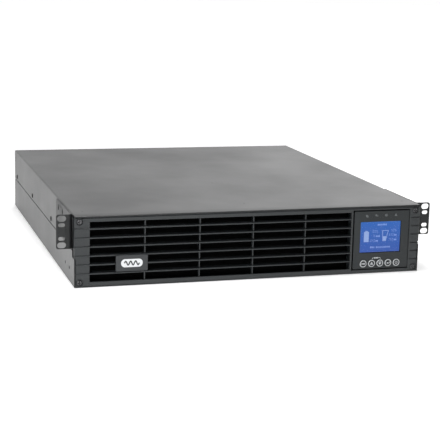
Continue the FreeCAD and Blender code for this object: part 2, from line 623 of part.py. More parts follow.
ix, iz = INLET
inl = fuse([rbx(ix - 25.0, ix + 25.0, REAR_Y + 0.02, REAR_Y + 2.5, iz - 11.4, iz + 11.4, 3.0),
            rbx(ix - 14.0, ix + 14.0, REAR_Y - 24.0, REAR_Y + 2.5, iz - 10.0, iz + 10.0, 2.0),
            rbx(ix - 14.0, ix + 14.0, REAR_Y + 2.0, REAR_Y + 5.0, iz - 10.0, iz + 10.0, 2.0)])
inl = cut(inl, [c_shape(ix, iz, 24.4, 16.4, 4.2, REAR_Y - 15.0, REAR_Y + 8)] +
          [cyl(ix + dx, REAR_Y - 1, iz, 1.65, 6) for dx in (-20.0, 20.0)] +
          [bx(ix + dx - 1.02, ix + dx + 1.02, REAR_Y - 30, REAR_Y - 10, iz + dz - 2.02, iz + dz + 2.02)
           for dx, dz in ((-7.0, -1.0), (0.0, 1.5), (7.0, -1.0))])
pins = []
for dx, dz in ((-7.0, -1.0), (0.0, 1.5), (7.0, -1.0)):
    pn = bx(ix + dx - 1.0, ix + dx + 1.0, REAR_Y - 32.0, REAR_Y - 1.0, iz + dz - 2.0, iz + dz + 2.0)
    pins.append(cham(pn, 0.6, "z", lambda c: c.y > REAR_Y - 5))
export("power_inlet", [inl] + pins)

# -------------------------------------------------------- output sockets
def outlet(x, z):
    b = bx(x - 15.0, x + 15.0, REAR_Y - 22.0, REAR_Y - SHEET - 0.02, z - 12.0, z + 12.0)
    n = rbx(x - 14.0, x + 14.0, REAR_Y - 3.0, REAR_Y + 1.6, z - 11.0, z + 11.0, 2.0)
    fl = rbx(x - 15.6, x + 15.6, REAR_Y + 0.02, REAR_Y + 1.6, z - 12.6, z + 12.6, 2.4)
    b = fuse([b, n, fl])
    # groove that takes the plug's shroud, round a solid island
    g = c_shape(x, z, 27.0, 20.0, 4.6, REAR_Y - 15.0, REAR_Y + 3)
    isl = c_shape(x, z, 23.0, 15.4, 4.0, REAR_Y - 16.0, REAR_Y + 0.6)
    b = b.cut(g.cut(isl))
    b = b.cut([bx(x + dx - 1.3, x + dx + 1.3, REAR_Y - 14.0, REAR_Y + 3, z + dz - 2.4, z + dz + 2.4)
               for dx, dz in ((-7.0, -1.0), (0.0, 1.5), (7.0, -1.0))])
    return b.removeSplitter()


export("output_sockets_upper", [outlet(x, OUT_Z[1]) for x in OUT_X])
export("output_sockets_lower", [outlet(x, OUT_Z[0]) for x in OUT_X])

# -------------------------------------------------- resettable breakers
bb = []
for (x, z) in BRK:
    b = fuse([bx(x - 8.0, x + 8.0, REAR_Y - 30.0, REAR_Y - SHEET - 0.02, z - 13.0, z + 13.0),
              cyl(x, REAR_Y - 4.0, z, 5.5, 8.2)])
    nut = Part.Face(Part.makePolygon(
        [V(x + 8.2 * math.cos(math.radians(a)), REAR_Y + 0.02, z + 8.2 * math.sin(math.radians(a)))
         for a in range(0, 361, 60)])).extrude(V(0, 2.4, 0))
    b = fuse([b, nut])
    b = cut(b, [cyl(x, REAR_Y - 12.0, z, 3.6, 20.0)])
    bb.append(b)
export("breaker_bodies", bb)
for i, (x, z) in enumerate(BRK):
    k = cyl(x, REAR_Y - 8.0, z, 3.4, 8.0 + P_REAR)
    k = k.makeFillet(0.6, [e for e in k.Edges if isinstance(e.Curve, Part.Circle)
                           and e.CenterOfMass.y > REAR_Y])
    export("breaker_button_%s" % ("input", "output")[i], k)

# --------------------------------------------------- accessory slot cover
sc = rbx(CARD[0], CARD[1], REAR_Y + 0.02, REAR_Y + 1.22, CARD[2], CARD[3], 1.5)
sc = fuse([sc, bx(CARD[0] + 5.5, CARD[1] - 5.5, REAR_Y - 12.0, REAR_Y + 0.5, CARD[2] + 4.5, CARD[2] + 5.7)])
sc = cut(sc, [cyl(x, REAR_Y - 1, (CARD[2] + CARD[3]) / 2, 1.65, 6) for x in (CARD[0] + 2.6, CARD[1] - 2.6)])
export("accessory_slot_cover", sc)

# ------------------------------------------------------ communication ports
sx, sz = SERIAL
shell = poly_y([(sx - 8.2, sz + 4.2), (sx + 8.2, sz + 4.2), (sx + 7.0, sz - 4.2), (sx - 7.0, sz - 4.2)],
               REAR_Y - 10.0, REAR_Y + 5.0)
flange = rbx(sx - 15.4, sx + 15.4, REAR_Y + 0.02, REAR_Y + 0.9, sz - 6.2, sz + 6.2, 1.5)
ser = fuse([shell, flange])
hx = []
for k in range(5):
    hx.append(cyl(sx - 5.52 + 2.76 * k, REAR_Y - 2, sz + 1.42, 0.55, 10))
for k in range(4):
    hx.append(cyl(sx - 4.14 + 2.76 * k, REAR_Y - 2, sz - 1.42, 0.55, 10))
ser = cut(ser, hx)
nuts = []
for dx in (-12.5, 12.5):
    nuts.append(Part.Face(Part.makePolygon(
        [V(sx + dx + 2.7 * math.cos(math.radians(a)), REAR_Y + 0.92, sz + 2.7 * math.sin(math.radians(a)))
         for a in range(0, 361, 60)])).extrude(V(0, 4.0, 0)).cut(cyl(sx + dx, REAR_Y + 0.5, sz, 1.3, 6)))
ux, uz = USB
usb = bx(ux - 6.0, ux + 6.0, REAR_Y - 16.0, REAR_Y + 0.4, uz - 5.6, uz + 5.6)
usb = usb.cut(bx(ux - 4.2, ux + 4.2, REAR_Y - 9.0, REAR_Y + 2, uz - 3.9, uz + 3.9))
usb = usb.fuse(bx(ux - 2.8, ux + 2.8, REAR_Y - 10.0, REAR_Y - 1.0, uz - 1.6, uz + 1.6)).removeSplitter()
ex, ez = EPO
epo = bx(ex - 7.0, ex + 7.0, REAR_Y - 18.0, REAR_Y + 0.4, ez - 6.0, ez + 6.0)
epo = epo.cut([bx(ex - 5.9, ex + 5.9, REAR_Y - 13.0, REAR_Y + 2, ez - 4.4, ez + 2.6),
               bx(ex - 3.0, ex + 3.0, REAR_Y - 13.0, REAR_Y + 2, ez + 2.5, ez + 4.9)])
export("communication_ports", [ser] + nuts + [usb, epo.removeSplitter()])

# --------------------------------------- connector for external batteries
bxc, bzc = BATC
eb = fuse([bx(bxc - 26.0, bxc + 26.0, REAR_Y - 30.0, REAR_Y + 3.0, bzc - 8.0, bzc + 8.0),
           bx(bxc - 30.0, bxc + 30.0, REAR_Y - 5.0, REAR_Y - SHEET - 0.02, bzc - 9.0, bzc + 9.0)])
eb = cut(eb, [bx(bxc - 22.0, bxc - 4.0, REAR_Y - 24.0, REAR_Y + 5, bzc - 5.2, bzc + 5.2),
              bx(bxc + 4.0, bxc + 22.0, REAR_Y - 24.0, REAR_Y + 5, bzc - 5.2, bzc + 5.2)])
export("external_battery_connector", eb)

gs = fuse([screw(GND[0], REAR_Y + 1.9, GND[1], "-y", 4.0, 2.4, 2.0, 12.0, 2.2)])
wsh = cyl(GND[0], REAR_Y + 0.02, GND[1], 5.0, 1.0).cut(cyl(GND[0], REAR_Y - 1, GND[1], 2.1, 5))
wsh2 = cyl(GND[0], REAR_Y + 1.04, GND[1], 4.4, 0.8).cut(cyl(GND[0], REAR_Y - 1, GND[1], 2.1, 5))
export("ground_screw", [gs, wsh, wsh2])

# ============================================================ battery drawer
dt = [bx(DRW_X0, DRW_X1, DRW_Y0 + 0.1, DRW_Y1, DRW_Z0, DRW_Z0 + 1.0),
      bx(DRW_X0, DRW_X0 + 1.0, DRW_Y0 + 0.1, DRW_Y1, DRW_Z0, DRW_Z1),
      bx(DRW_X1 - 1.0, DRW_X1, DRW_Y0 + 0.1, DRW_Y1, DRW_Z0, DRW_Z1),
      bx(DRW_X0, DRW_X1, DRW_Y1 - 1.0, DRW_Y1, DRW_Z0, DRW_Z1 - 10.0),
      bx(-207.0, 107.6, 28.7, 29.9, 2.8, 81.4)]
d = dt[0].fuse(dt[1:4] + [bx(DRW_X0, DRW_X1, 28.7, 31.4, DRW_Z0 + 0.3, DRW_Z1)]).fuse(dt[4])
d = d.removeSplitter()
tools = [cyl(x, 25, 78.0, 1.7, 8) for x in (-190.0, -50.0, 90.0)]
for i in range(9):
    x = -192.0 + i * 32.6
    if abs(x + 10 + 49.75) < 55:
        continue
    for z in (14.0, 28.0, 42.0, 56.0):
        tools.append(rbx(x, x + 20, 25, 34, z, z + 7, 3.4))
tools.append(bx(24.0, 76.0, DRW_Y1 - 3, DRW_Y1 + 2, 28.0, 48.0))
for x in (-110.2, 10.8):
    tools.append(cyl(x, 25, 30.0, 1.7, 8))
d = cut(d, tools)
export("battery_tray", d)

# moulded grip on the drawer front
g = poly_x([(28.68, 24.0), (28.68, 44.0), (25.8, 44.0), (23.4, 41.0), (22.2, 36.0),
            (24.0, 36.0), (26.0, 38.0), (26.0, 24.0)], -105.0, 5.5)
g = fil(g, 1.0, "x", lambda c: c.y < 24.5)
g = fuse([g, bx(-118.0, -105.0, 26.0, 28.68, 24.0, 36.0), bx(5.5, 18.5, 26.0, 28.68, 24.0, 36.0)])
g = cut(g, [cyl(x, 20, 30.0, 1.7, 12) for x in (-110.2, 10.8)])
export("drawer_grip", g)

ds = [screw(x, 28.68, 78.0, "+y", 3.4, 2.0, 1.6, 6.0, 2.0) for x in (-190.0, -50.0, 90.0)]
ds += [screw(x, 25.98, 30.0, "+y", 3.4, 2.0, 1.6, 5.0, 2.0) for x in (-110.2, 10.8)]
export("drawer_screws", ds)

# four 12 V blocks lying on their sides, terminals to the front and the back
cases, lids, plates, terms = [], [], [], []
bz0 = DRW_Z0 + 1.0 + 0.1
for col, bx0 in enumerate((-201.2, -50.0 + 0.6)):
    for row in (0, 1):
        s = 1 if row == 0 else -1
        if row == 0:
            y_case = (49.0, 137.0)
            y_lid = (43.0, 49.0)
        else:
            y_case = (139.0, 227.0)
            y_lid = (227.0, 233.0)
        x0, x1 = bx0, bx0 + BAT_L
        case = rbx(x0, x1, y_case[0], y_case[1], bz0, bz0 + BAT_W, 2.0)
        cells = []
        cw = (BAT_L - 4.0 - 5 * 1.6) / 6.0
        for k in range(6):
            cx = x0 + 2.0 + k * (cw + 1.6)
            if row == 0:
                cells.append(bx(cx, cx + cw, y_case[0] - 1, y_case[1] - 2.0, bz0 + 2.0, bz0 + BAT_W - 2.0))
                plates.append(bx(cx + 4.0, cx + cw - 4.0, y_case[0] + 8.0, y_case[1] - 6.0,
                                 bz0 + 10.0, bz0 + BAT_W - 12.0))
            else:
                cells.append(bx(cx, cx + cw, y_case[0] + 2.0, y_case[1] + 1, bz0 + 2.0, bz0 + BAT_W - 2.0))
                plates.append(bx(cx + 4.0, cx + cw - 4.0, y_case[0] + 6.0, y_case[1] - 8.0,
                                 bz0 + 10.0, bz0 + BAT_W - 12.0))
        # grid lugs that carry each plate group on the case wall
        cases.append(case.cut(cells))
        lid = rbx(x0, x1, y_lid[0], y_lid[1], bz0, bz0 + BAT_W, 2.0)
        lids.append(lid)
        ty = (y_lid[0] - 6.0, y_lid[0] - 0.0) if row == 0 else (y_lid[1], y_lid[1] + 6.0)
        for tx in (x0 + 12.0, x1 - 12.0):
            tb = bx(tx - 5.0, tx + 5.0, *((ty[1] - 2.0, ty[1]) if row == 0 else (ty[0], ty[0] + 2.0)),
                    bz0 + 8.0, bz0 + 18.0)
            tab = bx(tx - 0.4, tx + 0.4, ty[0], ty[1], bz0 + 9.8, bz0 + 16.2)
            terms.append(tb.fuse(tab).removeSplitter())
export("battery_cases", cases)
export("battery_lids", lids)
export("battery_plate_groups", plates)
export("battery_terminals", terms)

# blade connector on the back of the drawer; its two tongues enter the socket
bp = fuse([bx(24.5, 75.5, DRW_Y1 - 6.0, DRW_Y1 + 3.2, 28.5, 47.5),
           bx(20.0, 80.0, DRW_Y1 - 6.0, DRW_Y1 - 1.02, 25.0, 51.0),
           bx(30.0, 44.0, DRW_Y1 + 3.0, DRW_Y1 + 12.0, 36.0, 40.0),
           bx(56.0, 70.0, DRW_Y1 + 3.0, DRW_Y1 + 12.0, 36.0, 40.0)])
export("battery_plug", bp)

# ================================================================== bezel
def bezel():
    x0, x1 = -BEZ_X, BEZ_X
    blk = bx(x0, x1, FACE_Y, BEZ_D, BEZ_Z0, BEZ_Z1)
    wide_lo = bx(-BEZ_XW, BEZ_XW, FACE_Y, 5.3, 35.2, 44.5)
    wide_hi = bx(-BEZ_XW, BEZ_XW, FACE_Y, 12.9, 44.0, BEZ_Z1)
    b = fuse([blk, wide_lo, wide_hi])
    # rounded vertical front edges and top and bottom edges
    b = fil(b, 1.2, "z", lambda c: c.y < FACE_Y + 0.1)
    b = fil(b, 0.8, "x", lambda c: c.y < FACE_Y + 0.1)
    # hollow behind the face
    hol = bx(x0 + 2.2, x1 - 2.2, 4.0, BEZ_D + 1, BEZ_Z0 + 2.2, BEZ_Z1 - 2.2)
    b = b.cut(hol)
    # grille opening
    b = b.cut(bx(GRILLE[0], GRILLE[1], -5, 6, GRILLE[2], GRILLE[3]))
    # walls round the display pocket
    pw = 1.6
    px0, px1, pz0, pz1 = POCKET
    wall = bx(px0 - pw, px1 + pw, FACE_Y + 0.6, 27.0, pz0 - pw, pz1 + pw)
    wall = wall.cut([bx(px0, px1, -5, 25.4, pz0, pz1), bx(px0 + 20, px1 - 20, 20, 30, pz0 + 20, pz1 - 20)])
    b = b.cut(bx(px0, px1, -5, 10, pz0, pz1))
    b = b.fuse(wall)
    # upright between grille and display
    b = b.fuse(bx(GRILLE[1], px0, FACE_Y - 0.5, 12.0, GRILLE[2] - 1.0, GRILLE[3] + 1.0))
    # bars, carried on over the left end cap as raised ridges
    bars = []
    for z in BAR_Z:
        p = bx(GRILLE[0] - 1.0, GRILLE[1] + 0.5, 0.0, BAR_D, z - BAR_H / 2, z + BAR_H / 2)
        p = fil(p, BAR_R, "x", lambda c: c.y < 0.1)
        bars.append(p)
        hw = BEZ_X if z < 35.0 else BEZ_XW
        q = bx(-hw, GRILLE[0] - 0.2, 0.0, FACE_Y + 1.0, z - BAR_H / 2, z + BAR_H / 2)
        q = fil(q, BAR_R, "x", lambda c: c.y < 0.1)
        bars.append(q)
    for x in RIB_X:
        bars.append(bx(x - RIB_W / 2, x + RIB_W / 2, RIB_Y[0], RIB_Y[1], GRILLE[2] - 1.0, GRILLE[3] + 1.0))
    b = b.fuse(bars)
    # screw bosses
    for (x, z) in BOSS:
        b = b.fuse([cyl(x, FACE_Y - 0.5, z, 4.5, 1.5), cyl(x, FACE_Y, z, 4.2, BEZ_D - FACE_Y)])
    b = b.cut([bx(x0 - 5, x0, FACE_Y + 4.4, 40, -1, 35), bx(x1, x1 + 5, FACE_Y + 4.4, 40, -1, 35)])
    tools = []
    for (x, z) in BOSS:
        tools += [cyl(x, -2, z, 3.7, 5.6), cyl(x, -2, z, 1.7, 60)]
    # grooves in the right end cap
    for z in BAR_Z:
        hw = BEZ_X if z < 35.0 else BEZ_XW
        tools.append(bx(POCKET[1] + pw + 0.6, hw + 1, -2, FACE_Y + 1.3, z - 0.75, z + 0.75))
        tools.append(bx(hw - 1.0, hw + 1, -2, FACE_Y + 3.2, z - 0.75, z + 0.75))
    # room for the screws of the side rails
    for x in (-221.0, 211.0):
        tools.append(cyl(x, RAIL_HOLES[0][0], RAIL_HOLES[0][1], 4.2, 10.0, "x"))
    # reliefs in both sides, behind the face, beside the rack ears
    for s in (-1, 1):
        a, c = sorted((s * (BEZ_XW + 1.0), s * (BEZ_X - 2.6)))
        tools.append(bx(a, c, RELIEF[0], RELIEF[1], RELIEF[2], RELIEF[3]))
    # seat behind the badge plate
    tools.append(bx(BADGE[0] - 0.05, BADGE[1] + 0.05, -2, 0.9, BADGE[2] - 0.05, BADGE[3] + 0.05))
    b = b.cut(tools)
    return b.removeSplitter()


bez = bezel()
export("front_bezel", bez.Solids if len(bez.Solids) > 1 else bez)

# badge plate, blank, fixed to the bars by two short pegs on its back
bd = bx(BADGE[0], BADGE[1], -P_FRONT, 0.88, BADGE[2], BADGE[3])
bd = fil(bd, 1.5, "y")
bd = bd.makeFillet(0.4, [e for e in bd.Edges if e.BoundBox.YMax < -P_FRONT + 0.01])
export("badge_plate", bd)

# foam sheet behind the bars, held between the ribs and the bezel's side walls
af = bx(-206.0, 127.3, 12.6, 18.6, 3.2, 81.0)
export("air_filter", af)

sw = []
for (x, z) in BOSS:
    sw.append(screw(x, 3.6, z, "+y", 3.4, 2.2, 1.5, 30.0, 2.3))
export("bezel_screws", sw)

# =============================================================== display
def display_housing():
    x0, x1, z0, z1 = DISP
    pl = rbx(x0, x1, DISP_Y, DISP_Y + 2.5, z0, z1, 1.0)
    pl = pl.makeFillet(0.5, [e for e in pl.Edges if e.BoundBox.YMax < DISP_Y + 0.01])
    sh = bx(x0 + 2.0, x1 - 2.0, DISP_Y + 2.0, 24.0, z0 + 2.0, z1 - 2.0)
    sh = sh.cut(bx(x0 + 3.6, x1 - 3.6, DISP_Y + 2.5, 30.0, z0 + 3.6, z1 - 3.6))
    b = fuse([pl, sh])
    # posts for the board
    posts = []
    for (x, z) in ((x0 + 7, z0 + 6.4), (x1 - 7, z0 + 6.4), (x0 + 7, z1 - 6.4), (x1 - 7, z1 - 6.4)):
        posts.append(cyl(x, DISP_Y + 2.0, z, 2.0, 14.0 - DISP_Y - 2.02))
    b = fuse([b] + posts)
    tools = [bx(LCD[0], LCD[1], -2, 10, LCD[2], LCD[3])]
    for x in LED_X:
        tools.append(cyl(x, -2, LED_Z, 1.25, 8))
    for x in BTN_X:
        tools.append(cyl(x, -2, BTN_Z, BTN_R + 0.25, 8.6))
    return cut(b, tools)


export("display_housing", display_housing())
lw = bx(LCD[0] + 0.05, LCD[1] - 0.05, DISP_Y + 0.1, DISP_Y + 1.1, LCD[2] + 0.05, LCD[3] - 0.05)
export("lcd_window", lw)
lp = fuse([bx(LCD[0] - 3.0, LCD[1] + 3.0, DISP_Y + 2.55, DISP_Y + 7.0, LCD[2] - 4.0, LCD[3] + 3.0),
           bx(LCD[0] + 0.4, LCD[1] - 0.4, DISP_Y + 1.15, DISP_Y + 3.0, LCD[2] + 0.4, LCD[3] - 0.4)])
export("lcd_panel", lp)
db = bx(DISP[0] + 4.2, DISP[1] - 4.2, 14.0, 15.6, DISP[2] + 4.2, DISP[3] - 4.2)
conn = bx(158.0, 178.0, 15.6, 21.6, 40.0, 46.0)
export("display_board", [db, conn])
ts = []
for x in BTN_X:
    t = fuse([bx(x - 3.0, x + 3.0, 10.6, 14.0, BTN_Z - 3.0, BTN_Z + 3.0), cyl(x, 9.6, BTN_Z, 1.7, 2.0)])
    ts.append(t)
export("key_switches", ts)
lps = []
for x in LED_X:
    l = fuse([cyl(x, DISP_Y + 0.1, LED_Z, 1.2, 8.0), cyl(x, 9.0, LED_Z, 1.2, 5.0)])
    lps.append(l)
export("light_pipes", lps)
for n, x in zip(BTN_NAMES, BTN_X):
    k = cyl(x, DISP_Y - 0.5, BTN_Z, BTN_R, 4.2)
    k = k.makeFillet(0.5, [e for e in k.Edges if isinstance(e.Curve, Part.Circle)
                           and e.CenterOfMass.y < DISP_Y])
    k = fuse([k, cyl(x, DISP_Y + 3.0, BTN_Z, 2.0, 8.7 - DISP_Y - 3.0)])
    export(n, k)

print("nodes", len(NODES))
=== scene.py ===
import bpy
import bmesh
import math
import random
from mathutils import Vector, Matrix, noise


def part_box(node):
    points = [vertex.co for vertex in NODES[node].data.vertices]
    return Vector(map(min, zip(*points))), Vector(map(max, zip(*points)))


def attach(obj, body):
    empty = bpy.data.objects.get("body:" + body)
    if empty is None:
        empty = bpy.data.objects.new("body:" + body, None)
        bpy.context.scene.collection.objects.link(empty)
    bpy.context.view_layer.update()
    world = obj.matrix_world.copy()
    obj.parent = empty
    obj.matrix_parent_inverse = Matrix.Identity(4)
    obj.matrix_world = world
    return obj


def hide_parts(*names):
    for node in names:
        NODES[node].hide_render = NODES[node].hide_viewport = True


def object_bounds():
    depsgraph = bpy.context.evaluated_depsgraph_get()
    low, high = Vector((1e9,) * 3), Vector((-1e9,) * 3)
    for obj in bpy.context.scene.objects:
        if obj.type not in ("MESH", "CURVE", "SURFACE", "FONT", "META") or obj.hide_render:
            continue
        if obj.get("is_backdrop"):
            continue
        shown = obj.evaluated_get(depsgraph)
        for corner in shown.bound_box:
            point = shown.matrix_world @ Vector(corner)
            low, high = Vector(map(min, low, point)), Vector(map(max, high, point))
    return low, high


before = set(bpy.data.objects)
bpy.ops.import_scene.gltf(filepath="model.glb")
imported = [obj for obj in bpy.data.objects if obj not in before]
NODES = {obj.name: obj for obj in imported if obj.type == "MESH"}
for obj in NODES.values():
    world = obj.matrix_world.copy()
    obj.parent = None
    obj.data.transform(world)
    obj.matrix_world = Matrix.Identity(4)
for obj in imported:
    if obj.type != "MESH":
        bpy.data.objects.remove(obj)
CAD_LO, CAD_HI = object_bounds()
MM = 0.001
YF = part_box("front_bezel")[0].y          # front plane of the bezel's bars


def P(x, y, z):
    """Point from millimetres, y measured backwards from the bezel's front plane."""
    return Vector((x * MM, YF + y * MM, z * MM))


def lin(r, g, b):
    """8-bit screen colour to linear."""
    out = []
    for c in (r, g, b):
        c = c / 255.0
        out.append(c / 12.92 if c <= 0.04045 else ((c + 0.055) / 1.055) ** 2.4)
    return (out[0], out[1], out[2], 1.0)


# levels of the studio: seven parts of its walls, four soft lights (W) and the lit floor
LEVELS = [1.35, 2.32, 0.2, 0.0, 0.15, 0.0, 0.0, 8.5, 5.5, 5.0, 2.5, 0.57]

FLOOR_FRONT = 1.7          # how much brighter the floor is in front of the left half

# ------------------------------------------------------------------ camera
CAM_POS = (-480.42, -1440.71, 388.00)     # mm, y from the bezel plane
CAM_ROT = (1.74627949, -0.25497251, 0.25566534)
CAM_F, CAM_CX, CAM_CY = 1280.794, 254.227, 198.705


def rodrigues(v):
    t = math.sqrt(sum(c * c for c in v))
    return Matrix.Rotation(t, 3, Vector(v) / t)


cam_data = bpy.data.cameras.new("camera")
cam = bpy.data.objects.new("camera", cam_data)
bpy.context.scene.collection.objects.link(cam)
R = rodrigues(CAM_ROT)
right, down, fwd = Vector(R[0]), Vector(R[1]), Vector(R[2])
M = Matrix(((right.x, -down.x, -fwd.x, 0), (right.y, -down.y, -fwd.y, 0),
            (right.z, -down.z, -fwd.z, 0), (0, 0, 0, 1)))
M.translation = P(*CAM_POS)
cam.matrix_world = M
cam_data.sensor_width = 36.0
cam_data.lens = CAM_F / 440.0 * 36.0
cam_data.shift_x = (220.0 - CAM_CX) / 440.0
cam_data.shift_y = (CAM_CY - 220.0) / 440.0
cam_data.clip_start, cam_data.clip_end = 0.05, 50.0
bpy.context.scene.camera = cam


# --------------------------------------------------------------- materials
def tree(name):
    m = bpy.data.materials.new(name)
    m.use_nodes = True
    nt = m.node_tree
    nt.nodes.clear()
    out = nt.nodes.new("ShaderNodeOutputMaterial")
    b = nt.nodes.new("ShaderNodeBsdfPrincipled")
    nt.links.new(b.outputs[0], out.inputs[0])
    return m, nt, b


def coords(nt, scale=(1, 1, 1)):
    tc = nt.nodes.new("ShaderNodeTexCoord")
    mp = nt.nodes.new("ShaderNodeMapping")
    mp.inputs["Scale"].default_value = scale
    nt.links.new(tc.outputs["Object"], mp.inputs["Vector"])
    return mp.outputs["Vector"]


def noise_tex(nt, vec, scale, detail=3.0, rough=0.55):
    n = nt.nodes.new("ShaderNodeTexNoise")
    n.inputs["Scale"].default_value = scale
    n.inputs["Detail"].default_value = detail
    n.inputs["Roughness"].default_value = rough
    nt.links.new(vec, n.inputs["Vector"])
    return n.outputs["Fac"]


def maprange(nt, fac, a, b, lo=0.3, hi=0.7):
    m = nt.nodes.new("ShaderNodeMapRange")
    m.inputs["From Min"].default_value = lo
    m.inputs["From Max"].default_value = hi
    m.inputs["To Min"].default_value = a
    m.inputs["To Max"].default_value = b
    nt.links.new(fac, m.inputs["Value"])
    return m.outputs["Result"]


def mix(nt, fac, c0, c1):
    m = nt.nodes.new("ShaderNodeMix")
    m.data_type = "RGBA"
    if fac is not None:
        nt.links.new(fac, m.inputs["Factor"])
    for i, c in ((6, c0), (7, c1)):
        if hasattr(c, "links"):
            nt.links.new(c, m.inputs[i])
        else:
            m.inputs[i].default_value = c
    return m.outputs[2]


def dark(c, k):
    return (c[0] * k, c[1] * k, c[2] * k, 1.0)


def surface(name, base, rough=0.5, metallic=0.0, var=0.12, var_scale=18.0, rough_var=0.08,
            grain=2200.0, grain_depth=0.00002, grain_strength=0.35, wave=None, spec=0.5, coat=0.0,
            stretch=(1, 1, 1), ior=1.5):
    """Procedural finish: cloudy colour and roughness variation plus a fine moulded or sprayed grain."""
    m, nt, b = tree(name)
    vec = coords(nt, stretch)
    cloud = noise_tex(nt, vec, var_scale, 4.0)
    fine = noise_tex(nt, vec, grain, 2.0)
    c = mix(nt, maprange(nt, cloud, 0.0, 1.0), dark(base, 1.0 - var), dark(base, 1.0 + var))
    c = mix(nt, maprange(nt, fine, 0.0, 0.5), c, dark(base, 1.0 + var * 1.5))
    nt.links.new(c, b.inputs["Base Color"])
    nt.links.new(maprange(nt, cloud, max(0.02, rough - rough_var), min(1.0, rough + rough_var)),
                 b.inputs["Roughness"])
    b.inputs["Metallic"].default_value = metallic
    b.inputs["Specular IOR Level"].default_value = spec
    b.inputs["IOR"].default_value = ior
    b.inputs["Coat Weight"].default_value = coat
    bump = nt.nodes.new("ShaderNodeBump")
    bump.inputs["Strength"].default_value = grain_strength
    bump.inputs["Distance"].default_value = grain_depth
    nt.links.new(fine, bump.inputs["Height"])
    last = bump
    if wave is not None:
        w = noise_tex(nt, vec, wave[0], 2.0)
        b2 = nt.nodes.new("ShaderNodeBump")
        b2.inputs["Strength"].default_value = 1.0
        b2.inputs["Distance"].default_value = wave[1]
        nt.links.new(w, b2.inputs["Height"])
        nt.links.new(bump.outputs["Normal"], b2.inputs["Normal"])
        last = b2
    nt.links.new(last.outputs["Normal"], b.inputs["Normal"])
    return m


def brushed(name, base, rough=0.35, stretch=(1, 30, 1), metallic=1.0):
    return surface(name, base, rough, metallic, var=0.08, var_scale=30.0, rough_var=0.1,
                   grain=420.0, grain_depth=0.00001, grain_strength=0.5, stretch=stretch)


def zinc(name):
    """Zinc-plated sheet with its spangle."""
    m, nt, b = tree(name)
    vec = coords(nt)
    v = nt.nodes.new("ShaderNodeTexVoronoi")
    v.inputs["Scale"].default_value = 130.0
    nt.links.new(vec, v.inputs["Vector"])
    sep = nt.nodes.new("ShaderNodeSeparateColor")
    nt.links.new(v.outputs["Color"], sep.inputs[0])
    c = mix(nt, sep.outputs[0], (0.40, 0.41, 0.43, 1), (0.62, 0.63, 0.65, 1))
    nt.links.new(c, b.inputs["Base Color"])
    nt.links.new(maprange(nt, sep.outputs[1], 0.3, 0.46, 0.0, 1.0), b.inputs["Roughness"])
    b.inputs["Metallic"].default_value = 1.0
    bump = nt.nodes.new("ShaderNodeBump")
    bump.inputs["Distance"].default_value = 0.00001
    bump.inputs["Strength"].default_value = 0.4
    nt.links.new(noise_tex(nt, vec, 900.0), bump.inputs["Height"])
    nt.links.new(bump.outputs["Normal"], b.inputs["Normal"])
    return m


def glow(name, c_hi, c_lo, z0, z1, strength=1.0, base=(0.01, 0.01, 0.02, 1)):
    """Backlit surface, its colour running from bottom to top."""
    m, nt, b = tree(name)
    tc = nt.nodes.new("ShaderNodeTexCoord")
    sep = nt.nodes.new("ShaderNodeSeparateXYZ")
    nt.links.new(tc.outputs["Object"], sep.inputs[0])
    mr = nt.nodes.new("ShaderNodeMapRange")
    mr.inputs["From Min"].default_value = z0
    mr.inputs["From Max"].default_value = z1
    nt.links.new(sep.outputs["Z"], mr.inputs["Value"])
    c = mix(nt, mr.outputs["Result"], c_lo, c_hi)
    n = noise_tex(nt, coords(nt), 40.0, 1.0)
    c = mix(nt, maprange(nt, n, 0.0, 0.10), c, dark(c_hi, 0.8))
    nt.links.new(c, b.inputs["Emission Color"])
    b.inputs["Emission Strength"].default_value = strength
    b.inputs["Base Color"].default_value = base
    b.inputs["Roughness"].default_value = 0.35
    return m


def glass(name, tint=(0.9, 0.94, 1.0, 1), rough=0.04):
    m, nt, b = tree(name)
    vec = coords(nt)
    b.inputs["Base Color"].default_value = tint
    b.inputs["Transmission Weight"].default_value = 1.0
    b.inputs["IOR"].default_value = 1.05
    b.inputs["Specular IOR Level"].default_value = 0.5
    nt.links.new(maprange(nt, noise_tex(nt, vec, 40.0), rough, rough + 0.04), b.inputs["Roughness"])
    return m


